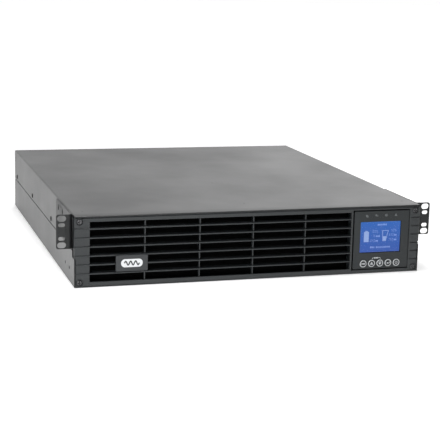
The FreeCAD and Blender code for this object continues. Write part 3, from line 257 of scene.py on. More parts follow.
CHAR = lin(52, 54, 56)
MAT = {
    "paint": surface("charcoal_powder_coat", lin(46, 47, 48), rough=0.37, var=0.06, var_scale=9.0,
                     rough_var=0.035, grain=1500.0, grain_depth=0.00003, grain_strength=0.5,
                     wave=(3.0, 0.0002)),
    # the ears carry the body's own paint; this darker copy of it is painted shade on them
    "ear_paint_painted_shade": surface("charcoal_powder_coat_ears_painted_shade", lin(30, 32, 33), rough=0.46, var=0.06,
                         grain=1500.0, grain_depth=0.00003, grain_strength=0.5),
    "bezel": surface("bezel_moulded_plastic", lin(40, 44, 46), rough=0.34, var=0.07, var_scale=14.0,
                     rough_var=0.05, grain=2600.0, grain_depth=0.00002, grain_strength=0.5),
    "display": surface("display_moulded_plastic", lin(28, 34, 36), rough=0.42, var=0.05,
                       rough_var=0.04, grain=3200.0, grain_depth=0.000015, grain_strength=0.4),
    "badge": surface("badge_moulded_plastic", lin(45, 48, 51), rough=0.36, var=0.05,
                     rough_var=0.04, grain=2600.0, grain_depth=0.00002),
    "key": surface("key_cap_plastic", lin(22, 26, 28), rough=0.5, var=0.05, grain=3000.0,
                   grain_depth=0.000015),
    "foam": surface("open_cell_foam", lin(9, 9, 9), rough=0.95, var=0.35, var_scale=700.0,
                    grain=900.0, grain_depth=0.0004, grain_strength=1.0, spec=0.1),
    "zinc": zinc("zinc_plated_sheet"),
    "black_screw": surface("black_oxide_steel", lin(46, 48, 50), rough=0.32, metallic=0.8, var=0.15,
                           var_scale=300.0, grain=2500.0, grain_depth=0.00001),
    # black screw heads, made darker and without sheen: painted shade of the recesses they sit in
    "flush_screw_painted_recess_shade": surface("black_fastener_painted_recess_shade", lin(18, 19, 20), rough=0.55, var=0.15, spec=0.2,
                           var_scale=300.0, grain=2500.0, grain_depth=0.00001),
    "nickel_screw": surface("dark_nickel_fastener", (0.13, 0.13, 0.135, 1), rough=0.34, metallic=1.0, var=0.12,
                            var_scale=300.0, grain=2500.0, grain_depth=0.00001),
    "steel_screw": surface("zinc_plated_fastener", (0.55, 0.55, 0.56, 1), rough=0.3, metallic=1.0,
                           var=0.1, var_scale=260.0, grain=2500.0, grain_depth=0.00001),
    "chrome": surface("bright_plated_wire", (0.62, 0.63, 0.65, 1), rough=0.16, metallic=1.0, var=0.05,
                      var_scale=120.0, rough_var=0.05, grain=1200.0, grain_depth=0.000005),
    "black_plastic": surface("black_moulded_plastic", lin(34, 34, 36), rough=0.48, var=0.1,
                             var_scale=60.0, grain=2400.0, grain_depth=0.00002),
    "fan": surface("fan_moulded_plastic", lin(28, 28, 30), rough=0.38, var=0.1, var_scale=50.0,
                   grain=2600.0, grain_depth=0.00001),
    "socket": surface("socket_thermoplastic", lin(30, 30, 32), rough=0.36, var=0.08, var_scale=80.0,
                      grain=2800.0, grain_depth=0.00001),
    "breaker": surface("breaker_button_white", lin(205, 203, 196), rough=0.35, var=0.04, var_scale=90.0,
                       grain=2600.0, grain_depth=0.00001),
    "connector": surface("connector_grey_plastic", lin(118, 122, 126), rough=0.45, var=0.06,
                         var_scale=80.0, grain=2600.0, grain_depth=0.00001),
    "board": surface("green_solder_mask", lin(18, 74, 44), rough=0.3, var=0.25, var_scale=160.0,
                     grain=700.0, grain_depth=0.00003, grain_strength=0.6),
    "aluminium": brushed("extruded_aluminium", (0.68, 0.69, 0.70, 1), 0.34, (1, 0.05, 1)),
    "chip": surface("epoxy_package", lin(26, 26, 27), rough=0.55, var=0.1, var_scale=120.0),
    "sleeve": surface("capacitor_sleeve", lin(18, 28, 62), rough=0.25, var=0.1, var_scale=80.0),
    "ferrite": surface("sintered_ferrite", lin(58, 58, 60), rough=0.6, var=0.15, var_scale=200.0,
                       grain=1500.0, grain_depth=0.00004),
    "copper": surface("enamelled_copper", (0.50, 0.17, 0.05, 1), rough=0.3, metallic=0.9, var=0.2,
                      var_scale=500.0, grain=500.0, grain_depth=0.0001, grain_strength=0.8),
    "battery": surface("battery_case_plastic", lin(62, 63, 66), rough=0.45, var=0.06, var_scale=40.0,
                       grain=1800.0, grain_depth=0.00003),
    "battery_lid": surface("battery_lid_plastic", lin(44, 45, 47), rough=0.42, var=0.06, var_scale=40.0,
                           grain=1800.0, grain_depth=0.00003),
    "lead": surface("cast_lead", (0.25, 0.25, 0.27, 1), rough=0.5, metallic=0.9, var=0.2, var_scale=200.0),
    "tin": surface("tinned_brass", (0.66, 0.65, 0.62, 1), rough=0.3, metallic=1.0, var=0.1, var_scale=200.0),
    "window": glass("display_window"),
    "pipe": surface("light_pipe_acrylic", lin(120, 124, 126), rough=0.25, var=0.08, var_scale=300.0),
    "print": surface("pale_print_ink", lin(206, 210, 212), rough=0.55, var=0.06, var_scale=400.0,
                     grain=5000.0, grain_depth=0.000004),
    "print_dim": surface("dim_print_ink", lin(116, 120, 122), rough=0.55, var=0.08, var_scale=400.0,
                         grain=5000.0, grain_depth=0.000004),
    "emblem": surface("emblem_white_enamel", lin(236, 238, 240), rough=0.35, var=0.03, var_scale=200.0,
                      grain=4000.0, grain_depth=0.000004),
    "pin": surface("nickel_plated_pin", (0.7, 0.69, 0.66, 1), rough=0.22, metallic=1.0, var=0.08,
                   var_scale=200.0),
}

NODE_MAT = {
    "chassis_tray": "paint", "top_cover": "paint", "rear_panel": "paint", "accessory_slot_cover": "paint",
    "rack_ear_left": "ear_paint_painted_shade", "rack_ear_right": "ear_paint_painted_shade",
    "cover_screws": "flush_screw_painted_recess_shade", "ear_screws": "flush_screw_painted_recess_shade", "bezel_screws": "nickel_screw",
    "rear_screws": "black_screw", "drawer_screws": "steel_screw", "board_standoffs": "steel_screw",
    "ground_screw": "steel_screw", "front_bulkhead": "zinc", "drawer_guides": "zinc",
    "battery_bay_wall": "zinc", "middle_bulkhead": "zinc", "battery_tray": "zinc",
    "battery_socket": "connector", "battery_plug": "connector", "external_battery_connector": "connector",
    "main_board": "board", "charger_board": "board", "control_board": "board", "display_board": "board",
    "heat_sinks": "aluminium", "power_transistors": "chip", "key_switches": "chip", "capacitors": "sleeve",
    "chokes": "copper", "transformer_cores": "ferrite", "transformer_windings": "copper",
    "fan_frames": "fan", "fan_rotor_left": "fan", "fan_rotor_right": "fan", "fan_guards": "chrome",
    "power_inlet": "socket", "output_sockets_upper": "socket", "output_sockets_lower": "socket",
    "breaker_bodies": "black_plastic", "breaker_button_input": "breaker", "breaker_button_output": "breaker",
    "communication_ports": "steel_screw", "drawer_grip": "black_plastic", "battery_cases": "battery",
    "battery_lids": "battery_lid", "battery_plate_groups": "lead", "battery_terminals": "tin",
    "front_bezel": "bezel", "badge_plate": "badge", "air_filter": "foam", "display_housing": "display",
    "lcd_window": "window", "lcd_panel": "chip", "light_pipes": "pipe",
    "button_escape": "key", "button_up": "key", "button_down": "key", "button_enter": "key",
    "button_power": "key",
}
# how far the edges of each node are broken, in millimetres
EDGE = {
    "chassis_tray": 0.35, "top_cover": 0.35, "rear_panel": 0.25, "accessory_slot_cover": 0.25,
    "rack_ear_left": 0.3, "rack_ear_right": 0.3, "front_bulkhead": 0.2, "drawer_guides": 0.2,
    "battery_bay_wall": 0.2, "middle_bulkhead": 0.2, "battery_tray": 0.2, "front_bezel": 0.22,
    "badge_plate": 0.0, "display_housing": 0.15, "power_inlet": 0.2, "output_sockets_upper": 0.2,
    "output_sockets_lower": 0.2, "breaker_bodies": 0.25, "external_battery_connector": 0.4,
    "communication_ports": 0.12, "battery_socket": 0.3, "battery_plug": 0.3, "battery_cases": 0.4,
    "battery_lids": 0.4, "battery_terminals": 0.15, "drawer_grip": 0.4, "fan_frames": 0.3,
    "heat_sinks": 0.2, "transformer_cores": 0.4, "charger_board": 0.2, "control_board": 0.2,
    "power_transistors": 0.3, "main_board": 0.1,
}

# wide sheets: only their long edges are broken, not the rims of their holes
LONG_ONLY = ("top_cover", "chassis_tray", "rear_panel")


def weigh_long_edges(me):
    """Bevel weight 1 on the edges that are long and sharp; no vertex is touched."""
    at = [tuple(round(c / (0.01 * MM)) for c in v.co) for v in me.vertices]
    sides = {}
    for p in me.polygons:
        for u, v in p.edge_keys:
            sides.setdefault(frozenset((at[u], at[v])), []).append(p.normal.copy())
    weight = me.attributes.new("bevel_weight_edge", "FLOAT", "EDGE")
    for ed in me.edges:
        u, v = ed.vertices
        ns = sides.get(frozenset((at[u], at[v])), ())
        if (me.vertices[u].co - me.vertices[v].co).length > 5 * MM and len(ns) == 2 \
                and ns[0].dot(ns[1]) < math.cos(math.radians(40)):
            weight.data[ed.index].value = 1.0


for name, obj in NODES.items():
    m = MAT[NODE_MAT[name]]
    obj.data.materials.clear()
    obj.data.materials.append(m)
    for p in obj.data.polygons:
        p.material_index = 0
        # wide flat faces keep their own normal, everything else is shaded smooth
        p.use_smooth = not (p.area > 3e-4 and max(abs(c) for c in p.normal) > 0.999999)
    if obj.data.attributes.get("custom_normal"):
        obj.data.attributes.remove(obj.data.attributes["custom_normal"])
    w = obj.modifiers.new("weld", "WELD")
    w.merge_threshold = 2e-6
    e = EDGE.get(name, 0.0)
    if e > 0:
        bv = obj.modifiers.new("edges", "BEVEL")
        bv.width = e * MM
        bv.segments = 2
        bv.limit_method = "ANGLE"
        bv.angle_limit = math.radians(40)
        bv.use_clamp_overlap = False
        bv.harden_normals = False
        bv.miter_outer = "MITER_SHARP"
        if name in LONG_ONLY:
            weigh_long_edges(obj.data)
            bv.limit_method = "WEIGHT"
    wn = obj.modifiers.new("normals", "WEIGHTED_NORMAL")
    wn.keep_sharp = True
    wn.weight = 90


# ------------------------------------------------------------ mesh helpers
def new_mesh(name, bm, mat, body, smooth=False):
    bmesh.ops.recalc_face_normals(bm, faces=bm.faces)
    me = bpy.data.meshes.new(name)
    bm.to_mesh(me)
    bm.free()
    ob = bpy.data.objects.new(name, me)
    bpy.context.scene.collection.objects.link(ob)
    me.materials.append(MAT[mat] if isinstance(mat, str) else mat)
    for p in me.polygons:
        p.use_smooth = smooth
    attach(ob, body)
    return ob


def add_prism(bm, pts, y0, y1):
    """Closed prism from a polygon of (x, z) millimetres between two depths."""
    n = len(pts)
    a = [bm.verts.new(P(x, y0, z)) for x, z in pts]
    b = [bm.verts.new(P(x, y1, z)) for x, z in pts]
    bm.faces.new(a)
    bm.faces.new(list(reversed(b)))
    for i in range(n):
        j = (i + 1) % n
        bm.faces.new((a[j], a[i], b[i], b[j]))


def add_ribbon(bm, pts, width, y0, y1, closed=False):
    """Closed strip of constant width that follows a line of (x, z) points."""
    n = len(pts)
    left, rgt = [], []
    for i in range(n):
        if closed:
            p, q = pts[i - 1], pts[(i + 1) % n]
        else:
            p, q = pts[max(i - 1, 0)], pts[min(i + 1, n - 1)]
        c = pts[i]
        d0 = Vector((c[0] - p[0], c[1] - p[1]))
        d1 = Vector((q[0] - c[0], q[1] - c[1]))
        if d0.length < 1e-9:
            d0 = d1
        if d1.length < 1e-9:
            d1 = d0
        d0, d1 = d0.normalized(), d1.normalized()
        t = (d0 + d1)
        t = t.normalized() if t.length > 1e-6 else d0
        nrm = Vector((-t.y, t.x))
        k = max(0.35, nrm.dot(Vector((-d0.y, d0.x))))
        o = nrm * (width / 2.0 / k)
        left.append((c[0] + o.x, c[1] + o.y))
        rgt.append((c[0] - o.x, c[1] - o.y))
    la = [bm.verts.new(P(x, y0, z)) for x, z in left]
    ra = [bm.verts.new(P(x, y0, z)) for x, z in rgt]
    lb = [bm.verts.new(P(x, y1, z)) for x, z in left]
    rb = [bm.verts.new(P(x, y1, z)) for x, z in rgt]
    m = n if closed else n - 1
    for i in range(m):
        j = (i + 1) % n
        bm.faces.new((la[i], la[j], ra[j], ra[i]))
        bm.faces.new((lb[j], lb[i], rb[i], rb[j]))
        bm.faces.new((la[j], la[i], lb[i], lb[j]))
        bm.faces.new((ra[i], ra[j], rb[j], rb[i]))
    if not closed:
        bm.faces.new((la[0], ra[0], rb[0], lb[0]))
        bm.faces.new((ra[-1], la[-1], lb[-1], rb[-1]))


def circle(x, z, r, n=48, a0=0.0, a1=360.0, ends=False):
    k = n if not ends else n - 1
    return [(x + r * math.cos(math.radians(a0 + (a1 - a0) * i / k)),
             z + r * math.sin(math.radians(a0 + (a1 - a0) * i / k))) for i in range(n)]


def rect(x0, x1, z0, z1):
    return [(x0, z0), (x1, z0), (x1, z1), (x0, z1)]


def rrect(x0, x1, z0, z1, r, n=5):
    pts = []
    for cx, cz, a in ((x1 - r, z0 + r, -90), (x1 - r, z1 - r, 0), (x0 + r, z1 - r, 90), (x0 + r, z0 + r, 180)):
        for i in range(n + 1):
            t = math.radians(a + 90.0 * i / n)
            pts.append((cx + r * math.cos(t), cz + r * math.sin(t)))
    return pts


SEG = {"0": "abcdef", "1": "bc", "2": "abged", "3": "abgcd", "4": "fgbc", "5": "afgcd",
       "6": "afgedc", "7": "abc", "8": "abcdefg", "9": "abcdfg", "-": "g"}


def add_digit(bm, ch, x, z, h, w, t, y0, y1):
    """One seven-segment numeral: each segment is a small closed prism with pointed ends."""
    g = 0.12 * t
    half = h / 2.0
    seg = {
        "a": (x + t / 2 + g, z + h - t / 2, x + w - t / 2 - g, z + h - t / 2),
        "g": (x + t / 2 + g, z + half, x + w - t / 2 - g, z + half),
        "d": (x + t / 2 + g, z + t / 2, x + w - t / 2 - g, z + t / 2),
        "f": (x + t / 2, z + half + t / 2 + g, x + t / 2, z + h - t / 2 - g),
        "b": (x + w - t / 2, z + half + t / 2 + g, x + w - t / 2, z + h - t / 2 - g),
        "e": (x + t / 2, z + t / 2 + g, x + t / 2, z + half - t / 2 - g),
        "c": (x + w - t / 2, z + t / 2 + g, x + w - t / 2, z + half - t / 2 - g),
    }
    for s in SEG[ch]:
        xa, za, xb, zb = seg[s]
        if s in "agd":
            add_prism(bm, [(xa, za), (xa + t * 0.4, za - t * 0.45), (xb - t * 0.4, zb - t * 0.45), (xb, zb),
                           (xb - t * 0.4, zb + t * 0.45), (xa + t * 0.4, za + t * 0.45)], y0, y1)
        else:
            add_prism(bm, [(xa, za), (xa + t * 0.45, za + t * 0.4), (xb + t * 0.45, zb - t * 0.4), (xb, zb),
                           (xb - t * 0.45, zb - t * 0.4), (xa - t * 0.45, za + t * 0.4)], y0, y1)


def add_number(bm, text, x, z, h, y0, y1):
    w = h * 0.58
    t = h * 0.20
    for ch in text:
        if ch == ".":
            add_prism(bm, rect(x - 0.05 * h, x + 0.08 * h, z, z + 0.14 * h), y0, y1)
            x += 0.2 * h
            continue
        if ch == " ":
            x += w * 0.8
            continue
        add_digit(bm, ch, x, z, h, w, t, y0, y1)
        x += w * 1.28
    return x


def add_percent(bm, x, z, h, y0, y1):
    add_prism(bm, [(x, z), (x + 0.12 * h, z), (x + 0.6 * h, z + h), (x + 0.48 * h, z + h)], y0, y1)
    add_ribbon(bm, circle(x + 0.05 * h, z + 0.78 * h, 0.13 * h, 12), 0.1 * h, y0, y1, True)
    add_ribbon(bm, circle(x + 0.55 * h, z + 0.2 * h, 0.13 * h, 12), 0.1 * h, y0, y1, True)


def add_dashes(bm, x, z, h, widths, y0, y1, gap=0.35):
    """A row of short rounded bars, the look of small writing without any letters."""
    for w in widths:
        add_prism(bm, rrect(x, x + w, z, z + h, min(h, w) * 0.3, 3), y0, y1)
        x += w + gap


# ------------------------------------------------------------------ lathe etc
def add_lathe(bm, cx, cz, prof, n=96):
    """Closed body of revolution about a Y line through (cx, cz); prof is a closed loop of (radius, y)."""
    rings = []
    for r, y in prof:
        if r < 1e-6:
            rings.append([bm.verts.new(P(cx, y, cz))])
        else:
            rings.append([bm.verts.new(P(cx + r * math.cos(2 * math.pi * i / n), y,
                                         cz + r * math.sin(2 * math.pi * i / n))) for i in range(n)])
    m = len(rings)
    for a in range(m):
        ra, rb = rings[a], rings[(a + 1) % m]
        if len(ra) == 1 and len(rb) == 1:
            continue
        for i in range(n):
            j = (i + 1) % n
            if len(ra) == 1:
                bm.faces.new((ra[0], rb[j], rb[i]))
            elif len(rb) == 1:
                bm.faces.new((ra[i], ra[j], rb[0]))
            else:
                bm.faces.new((ra[i], ra[j], rb[j], rb[i]))


def add_torus(bm, cx, cy, cz, R, r, n=96, k=12):
    prof = [(R + r * math.cos(2 * math.pi * i / k), cy + r * math.sin(2 * math.pi * i / k)) for i in range(k)]
    add_lathe(bm, cx, cz, prof, n)


def add_wire(bm, pts, r, k=12):
    """Round wire with closed ends along points (x, y, z) in millimetres."""
    rings = []
    for i, c in enumerate(pts):
        c = Vector(c)
        a = Vector(pts[max(i - 1, 0)])
        b = Vector(pts[min(i + 1, len(pts) - 1)])
        t = (b - a).normalized()
        u = t.cross(Vector((0, 1, 0)))
        u = u.normalized() if u.length > 1e-6 else Vector((1, 0, 0))
        w = t.cross(u)
        rings.append([bm.verts.new(P(*(c + (u * math.cos(2 * math.pi * j / k) + w * math.sin(2 * math.pi * j / k)) * r)))
                      for j in range(k)])
    for a, b in zip(rings, rings[1:]):
        for j in range(k):
            q = (j + 1) % k
            bm.faces.new((a[j], a[q], b[q], b[j]))
    bm.faces.new(rings[0][::-1])
    bm.faces.new(rings[-1])


# ------------------------------------------------------------ display glow
LX0, LX1, LZ0, LZ1 = 139.9, 194.9, 26.6, 66.4
MAT["lcd_back"] = glow("lcd_backlight_blue", lin(30, 94, 176), lin(40, 80, 162), LZ0 * MM, LZ1 * MM, 1.0)
MAT["lcd_edge"] = glow("lcd_backlight_rim", lin(50, 108, 188), lin(62, 88, 170), LZ0 * MM, LZ1 * MM, 1.0)
MAT["lcd_ink"] = glow("lcd_pale_segments", lin(150, 172, 214), lin(140, 160, 208), LZ0 * MM, LZ1 * MM, 1.0)
MAT["lcd_soft"] = glow("lcd_soft_segments", lin(136, 164, 214), lin(128, 152, 208), LZ0 * MM, LZ1 * MM, 1.0)

bm = bmesh.new()
add_prism(bm, rrect(LX0 + 1.2, LX1 - 1.2, LZ0 + 1.2, LZ1 - 1.2, 0.4), 2.625, 2.645)
new_mesh("lcd_backlight", bm, "lcd_back", "display")
bm = bmesh.new()
add_ribbon(bm, rrect(LX0 + 0.85, LX1 - 0.85, LZ0 + 0.85, LZ1 - 0.85, 0.5), 0.66, 2.625, 2.645, True)
new_mesh("lcd_backlight_rim", bm, "lcd_edge", "display")


def LX(u):
    return LX0 + u * (LX1 - LX0)


def LZ(v):
    return LZ1 - v * (LZ1 - LZ0)


bm = bmesh.new()
y0, y1 = 2.605, 2.620
# battery symbol, filled
bxa, bxb, bzb, bzt = LX(0.096), LX(0.216), LZ(0.655), LZ(0.33)
add_prism(bm, rect(bxa, bxb, bzb, bzt), y0, y1)
add_prism(bm, [(bxa + 1.2, bzt), (bxb - 1.2, bzt), (bxb - 1.8, bzt + 1.2), (bxa + 1.8, bzt + 1.2)], y0, y1)
# load symbol: a tapering tumbler, part filled
add_ribbon(bm, [(LX(0.553), LZ(0.305)), (LX(0.568), LZ(0.635)), (LX(0.637), LZ(0.635)), (LX(0.694), LZ(0.305))],
           0.75, y0, y1, True)
add_prism(bm, [(LX(0.573), LZ(0.62)), (LX(0.633), LZ(0.62)), (LX(0.650), LZ(0.49)), (LX(0.566), LZ(0.49))], y0, y1)
new_mesh("lcd_symbols", bm, "lcd_ink", "display")

bm = bmesh.new()
e = add_number(bm, "100", LX(0.270), LZ(0.362), 3.1, y0, y1)
add_percent(bm, e + 0.3, LZ(0.362), 3.1, y0, y1)
e = add_number(bm, "15", LX(0.305), LZ(0.505), 3.1, y0, y1)
add_dashes(bm, e + 0.5, LZ(0.505), 2.1, (1.7, 1.1, 1.6), y0, y1)
e = add_number(bm, "240", LX(0.255), LZ(0.655), 3.1, y0, y1)
add_dashes(bm, e + 0.4, LZ(0.655), 2.1, (1.4, 1.5), y0, y1)
e = add_number(bm, "50", LX(0.772), LZ(0.345), 3.1, y0, y1)
add_percent(bm, e + 0.3, LZ(0.345), 3.1, y0, y1)
e = add_number(bm, "220", LX(0.715), LZ(0.485), 3.1, y0, y1)
add_dashes(bm, e + 0.4, LZ(0.485), 2.1, (1.3, 1.4), y0, y1)
e = add_number(bm, "750", LX(0.708), LZ(0.635), 3.1, y0, y1)
add_dashes(bm, e + 0.4, LZ(0.635), 2.1, (1.7, 1.5), y0, y1)
new_mesh("lcd_readings", bm, "lcd_soft", "display")

bm = bmesh.new()
add_dashes(bm, LX(0.425), LZ(0.135), 2.0, (1.5, 1.4, 1.2, 0.7, 1.3, 1.4, 1.3), y0, y1, 0.55)
add_dashes(bm, LX(0.260), LZ(0.862), 2.3, (2.2, 1.2, 1.2), y0, y1, 0.6)
add_dashes(bm, LX(0.405), LZ(0.862), 2.1, (1.6, 1.0, 1.0, 0.6, 1.2, 0.6, 1.2, 1.2, 1.2, 1.2, 1.2, 1.2), y0, y1, 0.55)
new_mesh("lcd_caption_bars", bm, "lcd_soft", "display")

# ------------------------------------------------- printed marks over the lamps
LED_X, LED_Z = (147.6, 160.9, 174.0, 187.1), 74.2
yf0, yf1 = 1.455, 1.497
bm = bmesh.new()
x = LED_X[0]
add_ribbon(bm, [(x - 1.8, LED_Z + 0.9), (x - 0.4, LED_Z + 0.9), (x + 0.7, LED_Z + 0.1), (x + 0.7, LED_Z - 1.3)], 0.45, yf0, yf1)
add_ribbon(bm, rect(x - 0.4, x + 1.8, LED_Z - 1.9, LED_Z - 0.1), 0.4, yf0, yf1, True)
x = LED_X[1]
add_ribbon(bm, [(x + (t / 10.0 - 1.0) * 2.0, LED_Z + 1.15 * math.sin(t / 10.0 * math.pi)) for t in range(21)],
           0.5, yf0, yf1)
x = LED_X[2]
add_ribbon(bm, [(x + 1.9 * math.cos(math.radians(a)), LED_Z + 1.25 * math.sin(math.radians(a)))
                for a in range(0, 360, 15)], 0.5, yf0, yf1, True)
add_prism(bm, rect(x - 0.7, x + 0.7, LED_Z - 0.25, LED_Z + 0.25), yf0, yf1)
x = LED_X[3]
add_ribbon(bm, [(x - 1.6, LED_Z - 1.2), (x + 1.6, LED_Z - 1.2), (x, LED_Z + 1.6)], 0.45, yf0, yf1, True)
add_prism(bm, rect(x - 0.18, x + 0.18, LED_Z - 0.5, LED_Z + 0.5), yf0, yf1)
new_mesh("lamp_marks", bm, "print_dim", "display")

# ---------------------------------------------------------- marks on the keys
BTN_X, BTN_Z = (145.3, 156.7, 168.0, 179.1, 190.4), 12.8
kb0, kb1 = 0.955, 0.997
KEY_A = [math.radians(12.0 * t) for t in range(6)]
KEY_MARK = 0.86             # size of the marks inside the rings


def key_mark(i, body, name):
    x, z = BTN_X[i], BTN_Z
    bm = bmesh.new()
    ring = [(3.5, 0.96)] + [(4.1 + 0.54 * math.sin(a), 1.5 - 0.54 * math.cos(a)) for a in KEY_A]
    ring += [(4.1 + 0.505 * math.sin(a), 1.5 - 0.505 * math.cos(a)) for a in reversed(KEY_A)] + [(3.5, 0.995)]
    add_lathe(bm, x, z, ring, 64)

    def sized(pts):
        return [(x + (u - x) * KEY_MARK, z + (v - z) * KEY_MARK) for u, v in pts]

    def prism(pts):
        add_prism(bm, sized(pts), kb0, kb1)

    def ribbon(pts, width):
        add_ribbon(bm, sized(pts), width * KEY_MARK, kb0, kb1)

    if i == 0:                                   # escape: three plain blocks
        for u in (-2.05, 0.0, 2.05):
            prism(rrect(x + u - 0.82, x + u + 0.82, z - 1.05, z + 1.05, 0.35, 3))
    elif i == 1:                                 # arrow up, over a bar
        prism([(x - 2.2, z - 0.5), (x + 2.2, z - 0.5), (x, z + 2.5)])
        prism(rect(x - 2.1, x + 2.1, z - 2.2, z - 1.25))
    elif i == 2:                                 # arrow down, under a bar
        prism([(x - 2.2, z + 0.5), (x, z - 2.5), (x + 2.2, z + 0.5)])
        prism(rect(x - 2.1, x + 2.1, z + 1.25, z + 2.2))
    elif i == 3:                                 # enter: hooked arrow
        ribbon([(x + 2.2, z + 1.7), (x + 2.2, z - 0.5), (x - 0.6, z - 0.5)], 0.85)
        prism([(x - 0.65, z + 0.9), (x - 2.5, z - 0.5), (x - 0.65, z - 1.9)])
    else:                                        # stand-by symbol
        ribbon(circle(x, z - 0.2, 1.85, 30, 125, 415, ends=True), 0.65)
        prism(rect(x - 0.34, x + 0.34, z - 0.2, z + 2.3))
    return new_mesh(name, bm, "print", body)


for i, b in enumerate(("escape", "up", "down", "enter", "power")):
    key_mark(i, "key_" + b, "key_mark_" + b)

# bracket that joins the up and down keys, with a small plain bar
bm = bmesh.new()
add_ribbon(bm, [(157.3, 18.6), (158.2, 19.7), (159.4, 19.7)], 0.45, yf0, yf1)
add_ribbon(bm, [(165.6, 19.9), (167.6, 19.9), (168.6, 18.9), (168.6, 18.4)], 0.5, yf0, yf1)
add_dashes(bm, 159.9, 18.95, 1.6, (1.3, 1.0, 1.3, 1.0), yf0, yf1, 0.22)
new_mesh("key_bracket_mark", bm, "print", "display")

# ---------------------------------------------------------------- badge plate
def rr_inset(x0, x1, z0, z1, r, i, n=8):
    return rrect(x0 + i, x1 - i, z0 + i, z1 - i, max(r - i, 0.15), n)


def add_layers(bm, loops):
    """Closed body through outlines of equal length, each a list of points with a depth."""
    rings = [[bm.verts.new(P(x, y, z)) for x, z in pts] for pts, y in loops]
    n = len(rings[0])
    for a, b in zip(rings, rings[1:]):
        for i in range(n):
            j = (i + 1) % n
            bm.faces.new((a[i], a[j], b[j], b[i]))
    bm.faces.new(rings[0][::-1])
    bm.faces.new(rings[-1])


blo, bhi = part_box("badge_plate")
bx0, bx1, bz0, bz1 = blo.x / MM, bhi.x / MM, blo.z / MM, bhi.z / MM
yb = (bhi.y - YF) / MM
bm = bmesh.new()
loops = [(rr_inset(bx0, bx1, bz0, bz1, 1.5, 0.0), yb), (rr_inset(bx0, bx1, bz0, bz1, 1.5, 0.0), -0.35)]
for t in range(1, 5):
    a = math.radians(22.5 * t)
    loops.append((rr_inset(bx0, bx1, bz0, bz1, 1.5, 0.55 * (1 - math.cos(a))), -0.35 - 0.55 * math.sin(a)))
# a fine raised border round a flat field
loops.append((rr_inset(bx0, bx1, bz0, bz1, 1.5, 0.95), -0.9))
loops.append((rr_inset(bx0, bx1, bz0, bz1, 1.5, 1.15), -0.8))
add_layers(bm, loops)
plate = new_mesh("badge_face_plate", bm, "badge", "bezel", smooth=True)
wn = plate.modifiers.new("normals", "WEIGHTED_NORMAL")
wn.weight = 95
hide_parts("badge_plate")
# a plain white capsule that carries an alternating-current wave
bm = bmesh.new()
cx, cz = (bx0 + bx1) / 2, (bz0 + bz1) / 2
add_prism(bm, rrect(cx - 13.0, cx + 13.0, cz - 4.9, cz + 4.9, 4.6, 10), -0.95, -0.795)
new_mesh("badge_capsule", bm, "emblem", "bezel")
bm = bmesh.new()
wave = [(cx + (t / 24.0 - 1.0) * 9.0, cz + 2.3 * math.sin(t / 24.0 * 3.0 * math.pi)) for t in range(49)]
add_ribbon(bm, wave, 1.5, -0.985, -0.955, False)
new_mesh("badge_wave_mark", bm, "badge", "bezel")

# ---------------------------------------------------------------- air filter
# open-cell foam sheet: its faces are pitted by the cells and its edges are soft
lo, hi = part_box("air_filter")
nx, nz = 222, 52
EX, EZ = (hi.x - lo.x), (hi.z - lo.z)
bm = bmesh.new()
grid = {}
for side in (0, 1):
    for i in range(nx + 1):
        for k in range(nz + 1):
            u, w = i / nx, k / nz
            x = lo.x + 0.0002 + u * (EX - 0.0004)
            z = lo.z + 0.0002 + w * (EZ - 0.0004)
            d = min(u * EX, (1 - u) * EX, w * EZ, (1 - w) * EZ)
            edge = 0.0012 * max(0.0, 1.0 - d / 0.0022) ** 2
            p = Vector((x * 520.0, side * 7.3, z * 520.0))
            pit = 0.00018 + 0.00042 * (noise.noise(p) * 0.5 + 0.5) + 0.00025 * (noise.noise(p * 2.3) * 0.5 + 0.5)
            y = lo.y + pit + edge if side == 0 else hi.y - pit - edge
            if 0 < i < nx:
                x += 0.0003 * noise.noise(p + Vector((9.1, 3.3, 0)))
            if 0 < k < nz:
                z += 0.0003 * noise.noise(p + Vector((1.7, 8.8, 0)))
            grid[side, i, k] = bm.verts.new((x, y, z))
for i in range(nx):
    for k in range(nz):
        a, b, c, d = grid[0, i, k], grid[0, i + 1, k], grid[0, i + 1, k + 1], grid[0, i, k + 1]
        bm.faces.new((a, b, c, d))
        a, b, c, d = grid[1, i, k], grid[1, i + 1, k], grid[1, i + 1, k + 1], grid[1, i, k + 1]
        bm.faces.new((d, c, b, a))
for i in range(nx):
    for k in (0, nz):
        q = (grid[0, i, k], grid[0, i + 1, k], grid[1, i + 1, k], grid[1, i, k])
        bm.faces.new(q if k else q[::-1])
for k in range(nz):
    for i in (0, nx):
        q = (grid[0, i, k], grid[0, i, k + 1], grid[1, i, k + 1], grid[1, i, k])
        bm.faces.new(q[::-1] if i else q)
foam = new_mesh("foam_filter_sheet", bm, "foam", "bezel", smooth=True)
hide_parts("air_filter")


# ---------------------------------------------------------------- fan guards
FAN_X, FAN_Z, REAR = (-170.0, -88.0), 43.2, 508.0
glo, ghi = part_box("fan_guards")
for i, fx in enumerate(FAN_X):
    bm = bmesh.new()
    for r in (10.0, 18.5, 27.0, 35.5):
        add_torus(bm, fx, REAR + 1.16, FAN_Z, r, 0.82)
    for k in range(4):
        a = math.radians(45.0 + 90.0 * k)
        c, s = math.cos(a), math.sin(a)
        reach = 71.5 / 2 * math.sqrt(2)
        add_wire(bm, [(fx + c * 9.4, REAR + 0.86, FAN_Z + s * 9.4),
                      (fx + c * 28.0, REAR + 0.86, FAN_Z + s * 28.0),
                      (fx + c * (reach - 3.0), REAR + 0.86, FAN_Z + s * (reach - 3.0))], 0.82)
        add_torus(bm, fx + c * reach, REAR + 0.86, FAN_Z + s * reach, 3.05, 0.82, 40, 12)
    g = new_mesh("wire_fan_guard_%s" % ("left", "right")[i], bm, "chrome", "chassis", smooth=True)
    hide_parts("fan_guards")

